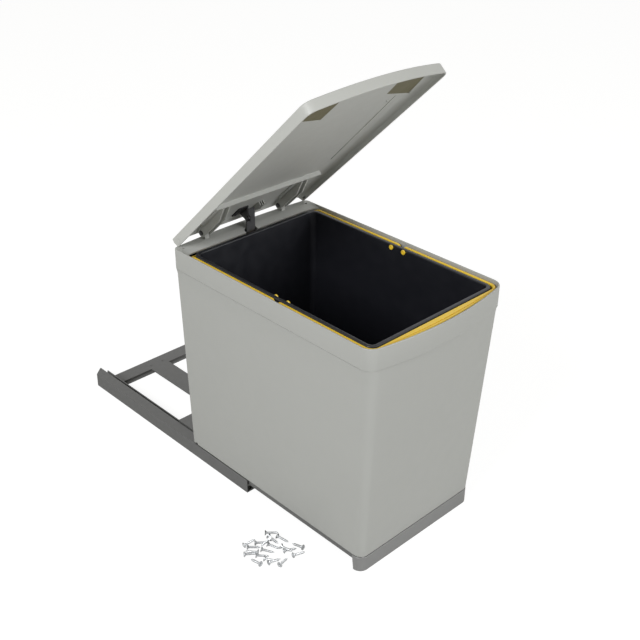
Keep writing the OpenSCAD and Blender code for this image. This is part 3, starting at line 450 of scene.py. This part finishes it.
def shelf_part(name, x_from, x_to, front=None, cuts=()):
    """One stretch of the shelf between two places across the bin."""
    steps = 48
    places = [x_from + (x_to - x_from) * i / steps for i in range(steps + 1)]
    stretch = bmesh.new()
    add_skin(stretch, [shelf_section(x, front) for x in places])
    return new_piece(name, stretch, bin_plastic, "carriage", slot="shell_grey", cuts=cuts)


def circle(x, y, r, points):
    """Points of a full circle in a plan."""
    turn = 360 / points
    return arc(x, y, r, 0, 360 - turn, points - 1)


def shelf_hole(x):
    """A hole through the flat of the shelf."""
    ring = circle(x, rear_y - shelf_flat, shelf_hole_r, hole_points)
    return at_height(ring, bin_high.z - 2 * shelf_t), at_height(ring, bin_high.z + overrun)


shelf_part("hinge_shelf_left", -shelf_end, notch_left, cuts=[shelf_hole(-shelf_hole_x)])
shelf_part("hinge_shelf_right", notch_right, shelf_end, cuts=[shelf_hole(shelf_hole_x)])
shelf_part("hinge_shelf_middle", notch_left, notch_right, front=notch_back)

# Hinge posts, pins and the strap's guide. The posts are moulded in the bin's plastic, the
# pins are dark steel and the guide behind the bucket is nylon.
bracket_black = (0.012, 0.012, 0.013)
black_coat = coated_steel("black_coat", bracket_black, roughness=0.35)
finish(bin_plastic, "left_hinge_post", "right_hinge_post")
finish(black_coat, "hinge_pins")
finish(nylon, "lift_guide")

# Front strip. A lighter grey band, moulded, that is clipped round the foot of the bin and
# hides the ends of the carriage.
strip_low, strip_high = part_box("front_strip")
strip_t = 2 * mm
strip_out = 0.4 * mm
strip_slant = 3 * mm
strip_edge = 0.5 * mm
strip_grey = (0.235, 0.235, 0.232)


def strip_path(offset):
    """Plan points of the strip, from its left end round the front to its right end."""
    steps = 16
    half, front, r = foot_half + offset, foot_y - offset, foot_r + offset
    left = arc(-half + r, front + r, r, 180, 270, steps)
    right = arc(half - r, front + r, r, 270, 360, steps)
    return left + right


def strip_section(outer, inner, back):
    """A section through the strip with eased edges; the ends slant back with height."""
    top, low, e = strip_high.z, strip_low.z, strip_edge
    ease = strip_edge / strip_t
    profile = (
        (ease, low), (0, low + e), (0, top - e), (ease, top),
        (1 - ease, top), (1, top - e), (1, low + e), (1 - ease, low))
    points = []
    for share, z in profile:
        x = outer[0] + (inner[0] - outer[0]) * share
        y = outer[1] + (inner[1] - outer[1]) * share
        points.append((x, y + back * strip_slant * (z - top) / (top - low), z))
    return points


outer, inner = strip_path(strip_out), strip_path(strip_out - strip_t)
ends = [(outer[0][0], strip_high.y), (outer[-1][0], strip_high.y)]
inner_ends = [(inner[0][0], strip_high.y), (inner[-1][0], strip_high.y)]
sections = [strip_section(ends[0], inner_ends[0], 1)]
sections += [strip_section(a, b, 0) for a, b in zip(outer, inner)]
sections += [strip_section(ends[1], inner_ends[1], 1)]
band = bmesh.new()
add_skin(band, sections)
strip_plastic = moulded_plastic("strip_grey_plastic", strip_grey, roughness=0.42)
new_piece("front_strip_band", band, strip_plastic, "carriage", "front_strip", slot="strip_grey")

# Inner bucket. The black bucket that lifts out, injection-moulded in polypropylene, with a
# turned-down rim that stiffens it.
bucket_low, bucket_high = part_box("inner_bucket")
bucket_flange = 4 * mm
bucket_half = bucket_high.x - bucket_flange
bucket_front = bucket_low.y + bucket_flange
bucket_rear = bucket_high.y - bucket_flange
bucket_front_r = 8 * mm
bucket_rear_r = 10 * mm
corner_shrink = 3 * mm
bucket_wall = 1.8 * mm
bucket_taper = 11 * mm
bucket_rim_h = 8 * mm
bucket_rim_r = 1.6 * mm
rim_web = 1 * mm
rim_under = bucket_wall + rim_web
bucket_foot_r = 4 * mm
inner_foot_r = 6 * mm
wall_end_h = 10 * mm
wall_end_share = 0.93
bucket_black = (0.0105, 0.011, 0.0145)


def bucket_ring(grow, z):
    """The bucket's outline, grown by some distance, at a height."""
    out = max(grow, -corner_shrink)
    return at_height(bowed_outline(
        bucket_half + grow, bucket_front - grow, bucket_rear + grow,
        bucket_front_r + out, bucket_rear_r + out, 0), z)


# The skin runs up the outside, out and down under the rim, over it and down the inside.
foot_z = bucket_low.z
top_z = bucket_high.z
flange_in = bucket_flange - bucket_wall
inner_foot = -bucket_wall - bucket_taper
rings = [bucket_ring(-bucket_taper - inset, foot_z + up) for inset, up in quarter(bucket_foot_r)]
rings += [bucket_ring(0, top_z - rim_under), bucket_ring(flange_in, top_z - rim_under)]
rings += [bucket_ring(flange_in, top_z - bucket_rim_h), bucket_ring(bucket_flange, top_z - bucket_rim_h)]
rings += [bucket_ring(bucket_flange - inset, top_z - up) for inset, up in reversed(quarter(bucket_rim_r))]
rings += [bucket_ring(-bucket_wall + inset, top_z - up) for inset, up in quarter(bucket_rim_r)]
rings += [bucket_ring(-bucket_wall - bucket_taper * wall_end_share, foot_z + bucket_wall + wall_end_h)]
rings += [bucket_ring(inner_foot - inset, foot_z + bucket_wall + up)
          for inset, up in reversed(quarter(inner_foot_r))]
bucket = bmesh.new()
add_skin(bucket, rings)
bucket_plastic = moulded_plastic(
    "bucket_black_plastic", bucket_black, roughness=0.34, depth=0.015, clouding=0.05)
new_piece(
    "inner_bucket_shell", bucket, bucket_plastic, "carriage", "inner_bucket",
    slot="bucket_black")

# Bail handles. Two yellow hoops, moulded, pinned to the bucket's side walls. The front one
# swells into a crescent grip and the rear one dips in front of the hinge shelf.
handle_yellow = (0.93, 0.63, 0.045)
front_low, front_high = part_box("front_handle")
rear_low, rear_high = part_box("rear_handle")
arm_w = 3.6 * mm
arm_h = 7 * mm
arm_top = front_high.z
arm_mid = arm_top - arm_h / 2
arm_out = front_high.x
grip_bow = 8.8 * mm
grip_back = front_low.y + grip_bow + arm_w
grip_r = 13.8 * mm
end_r = 1 * mm
rear_corner_r = 15.8 * mm
run_back = rear_high.y
run_dip = 6 * mm
pivot_in = 7 * mm
edge_share = 0.22
most_ease = 0.45
groove_depth = 0.9 * mm
groove_from = 0.24
groove_to = 0.36


def bar_section(outer, inner, low, high):
    """A bar's section between two plan points, with eased edges and a groove along its top."""
    e = edge_share * min(high - low, arm_w)
    ease = min(most_ease, e / math.dist(outer, inner))
    groove = min(groove_depth, (high - low) / 4)
    profile = (
        (ease, low), (0, low + e), (0, high - e), (ease, high), (groove_from, high),
        (groove_from, high - groove), (groove_to, high - groove), (groove_to, high),
        (1 - ease, high), (1, high - e), (1, low + e), (1 - ease, low))
    points = []
    for share, z in profile:
        x = outer[0] + (inner[0] - outer[0]) * share
        y = outer[1] + (inner[1] - outer[1]) * share
        points.append((x, y, z))
    return points


def end_sections(x_out, x_in, end_y, toward):
    """The round end of a side arm, as sections that shrink to its tip."""
    steps = 6
    r = arm_h / 2
    sections = []
    for i in range(steps):
        a = math.pi / 2 * i / steps
        half = r * math.cos(a)
        y = end_y + toward * r * math.sin(a)
        sections.append(bar_section((x_out, y), (x_in, y), arm_mid - half, arm_mid + half))
    return sections


def add_turned(mesh_data, centre, side, profile, steps=24):
    """Adds a body turned about an X axis; profile holds distances along it and radii."""
    turns = [2 * math.pi * i / steps for i in range(steps)]
    rings = []
    for along, r in profile:
        rings.append([
            (side * along, centre[0] + r * math.cos(a), centre[1] + r * math.sin(a)) for a in turns])
    add_skin(mesh_data, rings)


def add_pivots(mesh_data, y):
    """Adds a handle's two pins with their dished buttons inside the bucket."""
    pin_r = 1.6 * mm
    button_r = 3.5 * mm
    button_t = 2 * mm
    button_edge = 0.5 * mm
    dish_r = 1.4 * mm
    dish_floor_r = 1 * mm
    dish_depth = 0.8 * mm
    into_bucket = 0.4 * mm
    wall_x = bucket_half - bucket_wall - into_bucket
    face_x = wall_x - button_t
    profile = (
        (arm_out - arm_w / 2, pin_r), (wall_x, pin_r), (wall_x, button_r - button_edge),
        (wall_x - button_edge, button_r), (face_x + button_edge, button_r),
        (face_x, button_r - button_edge), (face_x, dish_r), (face_x + dish_depth, dish_floor_r))
    for side in (-1, 1):
        add_turned(mesh_data, (y, arm_mid), side, profile)


yellow = moulded_plastic(
    "handle_yellow_plastic", handle_yellow, roughness=0.3, depth=0.01, clouding=0.03)
front_hoop = bmesh.new()
end_y = front_high.y - arm_h / 2
beyond_y = end_y + grip_r
outer = bowed_outline(arm_out, grip_back - arm_w, beyond_y, grip_r, end_r, grip_bow)
inner = bowed_outline(arm_out - arm_w, grip_back, beyond_y, grip_r - arm_w, end_r, 0)
outer, inner = ([point for point in line if point[1] < end_y] for line in (outer, inner))
sections = list(reversed(end_sections(-arm_out, -arm_out + arm_w, end_y, 1)))
sections += [bar_section(a, b, arm_top - arm_h, arm_top) for a, b in zip(outer, inner)]
sections += end_sections(arm_out, arm_out - arm_w, end_y, 1)
add_skin(front_hoop, sections)
add_pivots(front_hoop, front_high.y - pivot_in)
new_piece("front_handle_hoop", front_hoop, yellow, "front_handle", "front_handle", slot="handle_yellow")

rear_hoop = bmesh.new()
end_y = rear_low.y + arm_h / 2
r = rear_corner_r
corner_steps = 14
left_outer = arc(-arm_out + r, run_back - r, r, 180, 90, corner_steps)
left_inner = arc(-arm_out + r, run_back - r, r - arm_w, 180, 90, corner_steps)
shares = [i / corner_steps for i in range(corner_steps + 1)]
highs = [arm_top - run_dip * (3 * share ** 2 - 2 * share ** 3) for share in shares]
corner = list(zip(left_outer, left_inner, highs))
sections = list(reversed(end_sections(-arm_out, -arm_out + arm_w, end_y, -1)))
sections += [bar_section(a, b, high - arm_h, high) for a, b, high in corner]
for a, b, high in reversed(corner):
    sections.append(bar_section((-a[0], a[1]), (-b[0], b[1]), high - arm_h, high))
sections += end_sections(arm_out, arm_out - arm_w, end_y, -1)
add_skin(rear_hoop, sections)
add_pivots(rear_hoop, rear_low.y + pivot_in)
new_piece("rear_handle_hoop", rear_hoop, yellow, "rear_handle", "rear_handle", slot="handle_yellow")

# Lid. A shallow tray in a paler grey than the bin, moulded in one piece. Its sides are coved
# inside and its back is open between the side skirts. A shallow pocket at each front corner
# holds a thin sheet in painted shade, and a groove runs along the right side.
hinge = Vector(next(j for j in frame["joints"] if j["name"] == "lid_hinge")["pos_m"])
lid_open = math.radians(44.2)
to_open = Matrix.Translation(hinge) @ Matrix.Rotation(-lid_open, 4, "X")
lid_half = 115.8 * mm
lid_rear = 13.9 * mm
lid_len = 365.7 * mm
lid_front = lid_rear - lid_len
lid_bow = 12.5 * mm
lid_top = 8.6 * mm
lid_h = 14 * mm
lid_skirt = lid_top - lid_h
lid_wall = 2.3 * mm
lid_panel = lid_top - lid_wall
lid_front_r = 15 * mm
lid_rear_r = 4 * mm
lid_draft = 0.6 * mm
lid_cove = 7 * mm
cove_reach = 1.8
cove_steps = 7
lid_crown = 1.3 * mm
skirt_edge = 0.5 * mm
lid_grey = (0.51, 0.515, 0.49)


def lid_ring(inset, z):
    """The lid's outline when shut, drawn in by some distance, at a height over the hinge."""
    outline = bowed_outline(
        lid_half, lid_front, lid_rear, lid_front_r, lid_rear_r, lid_bow, inset)
    return at_height(outline, z)


def opened(rings):
    """Turns rings drawn for the shut lid up to its open place."""
    return [[to_open @ Vector(point) for point in ring] for ring in rings]


def slab_rings(corners, low, high):
    """A flat slab over plan corners, as the rings of a closed skin."""
    return [at_height(corners, low), at_height(corners, high)]


def under_lid(corners):
    """Plan places on the shut lid, from millimetres across and forward of its rear edge."""
    return [(x * mm, lid_rear - back * mm) for x, back in corners]


rings = [lid_ring(lid_wall + cove_reach * inset, lid_panel - up)
         for inset, up in quarter(lid_cove, cove_steps)]
rings += [lid_ring(lid_wall, lid_skirt + skirt_edge), lid_ring(lid_wall - skirt_edge, lid_skirt)]
rings += [lid_ring(skirt_edge, lid_skirt), lid_ring(0, lid_skirt + skirt_edge)]
rings += [lid_ring(lid_draft + inset, lid_top - up) for inset, up in reversed(quarter(lid_crown))]
lid_mesh = bmesh.new()
add_skin(lid_mesh, opened(rings))

# The pockets, the groove, the opening in the back and the slant of the skirts' rear ends.
pocket_depth = 0.7 * mm
groove_cut = 1.7 * mm
left_pocket = ((-89, 311), (-46, 297), (-43, 354), (-86, 354))
right_pocket = ((50, 317), (106, 298), (98, 354), (46, 354))
groove_line = ((76.2, 303), (90.2, 128), (92.8, 128), (78.8, 303))
under_panel = lid_panel - overrun
under_skirt = lid_skirt - overrun
cuts = [slab_rings(under_lid(pocket), under_panel, lid_panel + pocket_depth)
        for pocket in (left_pocket, right_pocket)]
cuts.append(slab_rings(under_lid(groove_line), under_panel, lid_panel + groove_cut))
open_depth = 10.3 * mm
open_head = 1.6 * mm
back_half = lid_half - lid_wall - lid_draft
cuts.append(box_rings(
    (-back_half, lid_rear - open_depth, under_skirt),
    (back_half, lid_rear + overrun, lid_panel - open_head)))
slant_y = 6 * mm
slant_down = 4.7 * mm
slant_in = 2 * mm
slant_z = lid_top - slant_down
slant_end = lid_rear - slant_in
slant = ((slant_y, under_skirt), (lid_rear + overrun, under_skirt),
         (lid_rear + overrun, slant_z), (slant_end, slant_z))
cuts.append([[(x, y, z) for y, z in slant] for x in (-lid_half - overrun, lid_half + overrun)])
lid_plastic = moulded_plastic("lid_grey_plastic", lid_grey, roughness=0.45)
new_piece(
    "lid_tray", lid_mesh, lid_plastic, "lid", "lid_shell",
    slot="shell_grey", cuts=[opened(cut) for cut in cuts])

# Corner pockets' painted shade. Two thin sheets in a dark olive are laid in the pockets under the
# lid's front corners. They paint the shade that falls there and are not real pads.
painted_shade_olive = (0.16, 0.145, 0.085)
shade_sheet_sunk = 0.3 * mm
shade_sheet_low = lid_panel + shade_sheet_sunk
shade_sheets = bmesh.new()
for pocket in (left_pocket, right_pocket):
    add_skin(shade_sheets, opened(slab_rings(under_lid(pocket), shade_sheet_low, lid_panel + pocket_depth)))
# Painted shade: this plastic carries the dark olive of the shade in the corner pockets.
painted_shade_plastic = moulded_plastic("lid_painted_shade_olive", painted_shade_olive, roughness=0.6)
new_piece("lid_corner_painted_shade", shade_sheets, painted_shade_plastic, "lid")

# Ribs under the lid, moulded with it: the long cross rib in front of the hinges, three short
# ribs beside the crank, a stud by the groove and a boss on each end of the hinge axis.
rib_half = lid_half * 0.81
rib_y = -80 * mm
rib_t = 2 * mm
rib_h = 6 * mm
rib_root = 0.5 * mm
rib_top = lid_panel + rib_root
clip_from = -32 * mm
clip_to = -14 * mm
clip_t = 1.1 * mm
short_rib_x = (11 * mm, 14.6 * mm, 18.2 * mm)
stud_place = (70, 294)
stud_r = 1.5 * mm
stud_points = 18
stud_h = 1.2 * mm
boss_r = 4 * mm
boss_out = 0.5 * mm
boss_edge = 0.5 * mm
boss_shoulder = 0.3 * mm
boss_points = 24
ribs = bmesh.new()
add_skin(ribs, opened(box_rings(
    (-rib_half, rib_y - rib_t / 2, lid_panel - rib_h), (rib_half, rib_y + rib_t / 2, rib_top))))
for x in short_rib_x:
    add_skin(ribs, opened(box_rings((x, clip_from, 0), (x + clip_t, clip_to, rib_top))))
stud_x, stud_y = under_lid([stud_place])[0]
stud_ring = circle(stud_x, stud_y, stud_r, stud_points)
add_skin(ribs, opened(slab_rings(stud_ring, lid_panel - stud_h, rib_top)))
boss_profile = (
    (lid_half - lid_wall, boss_r), (lid_half + boss_shoulder, boss_r),
    (lid_half + boss_out, boss_r - boss_edge))
around = [2 * math.pi * i / boss_points for i in range(boss_points)]
for side in (-1, 1):
    add_skin(ribs, opened([
        [(side * x, r * math.cos(a), r * math.sin(a)) for a in around] for x, r in boss_profile]))
new_piece("lid_ribs", ribs, lid_plastic, "lid", slot="shell_grey")

# Clip leaves. Two thin steel leaves in black coat, pushed in between the short ribs.
# They belong to the fixing of the crank beside them.
leaf_in = 1 * mm
leaf_low = 0.6 * mm
leaf_x = (12.6 * mm, 16.2 * mm)
leaves = bmesh.new()
for x in leaf_x:
    add_skin(leaves, opened(box_rings(
        (x, clip_from + leaf_in, leaf_low), (x + clip_t, clip_to - leaf_in, lid_panel))))
new_piece("crank_clip_leaves", leaves, black_coat, "lid", slot="bracket_black")

# Hinge arms and crank. The arms are moulded in the lid's plastic and carry its hinge ears.
# The crank is a steel bracket in black coat, riveted to the lid, with a slot for the strap.
finish(lid_plastic, "left_hinge_arm", "right_hinge_arm")
finish(black_coat, "lid_crank", "crank_rivets")

# Lift strap. A flat steel bar, coated dark grey, that a ramp in the frame pushes up as the
# bin is pulled out. A pin at its top works the crank, and a nylon roller at its foot runs
# on the ramp.
strap_grey = (0.085, 0.085, 0.088)
strap_coat = coated_steel("strap_coat", strap_grey, roughness=0.36)
finish(strap_coat, "lift_strap")
finish(black_coat, "crank_pin")
finish(zinc, "ramp_roller_pin")
finish(nylon, "ramp_roller")

# Mounting screws. Countersunk steel screws with rolled threads and cross recesses, zinc
# plated, loose in a heap beside the frame. Places in it are in screw lengths, turns in degrees.
heap = Vector((-165, -312, 0)) * mm
screw_len = 19 * mm
screw_r = 1.8 * mm
head_r = 4 * mm
head_edge = 0.3 * mm
pitch = 1.5 * mm
heap_gap = 0.1 * mm
floor_shares = [
    (-1.53, -0.37, 95), (-1.74, 1.16, -28), (-1.11, 1.58, -35), (-0.42, 1.53, -30), (0.74, 1.42, -84),
    (1.21, 1, -75), (1.74, -1.16, 100), (-1.21, 0.53, -40), (-0.53, 0.74, -55), (0.16, 0.84, -65),
    (-1.05, -0.63, -10), (-0.63, -1.32, 15), (0.68, -1.26, -12), (0.53, -0.47, -20),
]
raised_shares = [
    (0.42, 0.88, 189), (-1.08, 0.37, 130), (-1.22, -0.36, -58),
    (0.47, -0.24, -77), (-1.37, 1.6, -4), (0.56, 1.58, -42),
]
lean = math.atan((head_r - screw_r) / (screw_len - 2 * screw_r))


def head_face(turns):
    """The face of a screw's head, as rings with a cross recess pressed into them."""
    heart_r = 0.5 * mm
    cross_r = 2 * mm
    cross_half = 0.3
    recess = 1.1 * mm
    face_radii = (0.35 * mm, 0.9 * mm, 1.6 * mm, 2.1 * mm, 3.7 * mm)
    rings = []
    for r in face_radii:
        ring = []
        for a in turns:
            in_arm = r < cross_r and min(abs(math.sin(a)), abs(math.cos(a))) < cross_half
            depth = recess if in_arm or r < heart_r else 0
            ring.append(Vector((r * math.cos(a), r * math.sin(a), depth)))
        rings.append(ring)
    return rings


def thread_ring(z, turns):
    """A ring of a screw's shank, where a rolled ridge winds round a core with a point."""
    core_share = 0.72
    ridge_half = 0.3
    least_tip = 0.12
    fade = 1.5
    tip_z = screw_len - 2 * screw_r
    core = screw_r * core_share
    if z > tip_z:
        core *= max(least_tip, (screw_len - z) / (screw_len - tip_z))
    ring = []
    for i, a in enumerate(turns):
        turn = (z / pitch - i / len(turns)) % 1
        ridge = max(0.0, 1 - abs(turn - 0.5) / ridge_half)
        r = core + ridge * screw_r * (1 - core_share) * min(1, core / screw_r * fade)
        ring.append(Vector((r * math.cos(a), r * math.sin(a), z)))
    return ring


def add_screw(mesh_data, matrix):
    """Adds one screw, drawn along Z from the face of its head."""
    around = 24
    steps = 64
    end_cut = 0.2 * mm
    turns = [2 * math.pi * i / around for i in range(around)]
    rows = head_face(turns)
    rows.append([Vector((head_r * math.cos(a), head_r * math.sin(a), head_edge)) for a in turns])
    neck_z = head_r * 2 / 3
    for k in range(steps + 1):
        z = neck_z + (screw_len - end_cut - neck_z) * k / steps
        rows.append(thread_ring(z, turns))
    add_skin(mesh_data, [[matrix @ p for p in ring] for ring in rows])


screws = bmesh.new()
low_z = head_r * math.cos(lean)
high_z = 2 * low_z + screw_r + heap_gap
for shares, z, tilt in ((floor_shares, low_z, lean), (raised_shares, high_z, 0)):
    lying = Matrix.Rotation(math.pi / 2 + tilt, 4, "Y")
    for x, y, turn in shares:
        place = Matrix.Translation(heap + Vector((x * screw_len, y * screw_len, z)))
        add_screw(screws, place @ Matrix.Rotation(math.radians(turn), 4, "Z") @ lying)
new_piece("mounting_screws_heap", screws, zinc, "frame", "mounting_screws", slot="steel_zinc")

# Floor. A plain white sweep under the fitting, which keeps its shadow. Most of what the
# camera sees of it is a steady glow, which throws no light on the fitting.
floor_half = 30
floor_drop = 0.1 * mm
floor_white = (0.8, 0.8, 0.8, 1)
floor_shine = 0.1
floor_glow = 1.25
glow_share = 0.72
floor_mesh = bmesh.new()
bmesh.ops.create_grid(floor_mesh, x_segments=1, y_segments=1, size=floor_half)
floor_data = bpy.data.meshes.new("floor")
floor_mesh.to_mesh(floor_data)
floor_mesh.free()
floor = bpy.data.objects.new("floor", floor_data)
bpy.context.scene.collection.objects.link(floor)
floor.location.z = -floor_drop
paper = bpy.data.materials.new("white_sweep")
tree, shader = node_tree(paper, roughness=0.9)
shader.inputs["Base Color"].default_value = floor_white
shader.inputs["Specular IOR Level"].default_value = floor_shine
glow = tree.nodes.new("ShaderNodeEmission")
glow.inputs["Color"].default_value = (1, 1, 1, 1)
glow.inputs["Strength"].default_value = floor_glow
seen = tree.nodes.new("ShaderNodeLightPath")
share = tree.nodes.new("ShaderNodeMath")
share.operation = "MULTIPLY"
share.inputs[1].default_value = glow_share
mix = tree.nodes.new("ShaderNodeMixShader")
out = next(node for node in tree.nodes if node.type == "OUTPUT_MATERIAL")
tree.links.new(seen.outputs["Is Camera Ray"], share.inputs[0])
tree.links.new(share.outputs["Value"], mix.inputs["Fac"])
tree.links.new(shader.outputs["BSDF"], mix.inputs[1])
tree.links.new(glow.outputs["Emission"], mix.inputs[2])
tree.links.new(mix.outputs["Shader"], out.inputs["Surface"])
floor_data.materials.append(paper)

# Studio light. A faint warm world that the camera, shiny surfaces and glass see as white,
# and two large soft lamps: a stronger one high on the left and a weaker one in front.
room_warm = (1, 0.98, 0.86, 1)
room_strength = 0.25
lamp_white = (0.97, 0.98, 1.0)
aim = Vector((0, -0.2, 0.2))
world = bpy.data.worlds.new("studio")
bpy.context.scene.world = world
world.use_nodes = True
tree = world.node_tree
tree.nodes.clear()
out = tree.nodes.new("ShaderNodeOutputWorld")
room = tree.nodes.new("ShaderNodeBackground")
room.inputs["Color"].default_value = room_warm
room.inputs["Strength"].default_value = room_strength
white = tree.nodes.new("ShaderNodeBackground")
white.inputs["Color"].default_value = (1, 1, 1, 1)
white.inputs["Strength"].default_value = 1.0
seen = tree.nodes.new("ShaderNodeLightPath")
either = tree.nodes.new("ShaderNodeMath")
either.operation = "MAXIMUM"
any_ray = tree.nodes.new("ShaderNodeMath")
any_ray.operation = "MAXIMUM"
mix = tree.nodes.new("ShaderNodeMixShader")
tree.links.new(seen.outputs["Is Camera Ray"], either.inputs[0])
tree.links.new(seen.outputs["Is Glossy Ray"], either.inputs[1])
tree.links.new(either.outputs["Value"], any_ray.inputs[0])
tree.links.new(seen.outputs["Is Transmission Ray"], any_ray.inputs[1])
tree.links.new(any_ray.outputs["Value"], mix.inputs["Fac"])
tree.links.new(room.outputs["Background"], mix.inputs[1])
tree.links.new(white.outputs["Background"], mix.inputs[2])
tree.links.new(mix.outputs["Shader"], out.inputs["Surface"])


def soft_lamp(name, place, size, power):
    """A square area lamp that points at the fitting."""
    lamp = bpy.data.lights.new(name, "AREA")
    lamp.size = size
    lamp.energy = power
    lamp.color = lamp_white
    piece = bpy.data.objects.new(name, lamp)
    piece.location = place
    piece.rotation_euler = (aim - Vector(place)).to_track_quat("-Z", "Y").to_euler()
    bpy.context.scene.collection.objects.link(piece)


soft_lamp("key_lamp", (-2.6, -0.6, 2.0), size=1.2, power=60)
soft_lamp("front_lamp", (0.9, -3.0, 1.3), size=1.4, power=43)

# Camera. It stands high on the left in front of the fitting, as in the photograph, and its
# focal length is in pixels of a picture 640 wide.
camera_place = Vector((-0.8487, -1.0968, 0.9513))
heading = math.radians(44.25)
pitch_down = math.radians(29.69)
roll = math.radians(0.70)
focal_pixels = 1030.13
picture_w = 640
sensor_w = 36
level = Vector((math.cos(heading), -math.sin(heading), 0))
flat_ahead = Vector((math.sin(heading), math.cos(heading), 0))
ahead = flat_ahead * math.cos(pitch_down) - Vector((0, 0, math.sin(pitch_down)))
upright = level.cross(ahead)
right = math.cos(roll) * level + math.sin(roll) * upright
up = math.cos(roll) * upright - math.sin(roll) * level
lens = bpy.data.cameras.new("camera")
lens.sensor_width = sensor_w
lens.lens = focal_pixels / picture_w * sensor_w
camera = bpy.data.objects.new("camera", lens)
turned = Matrix((right, up, -ahead)).transposed().to_4x4()
camera.matrix_world = Matrix.Translation(camera_place) @ turned
bpy.context.scene.collection.objects.link(camera)
bpy.context.scene.camera = camera
bpy.context.scene.view_settings.view_transform = "Standard"
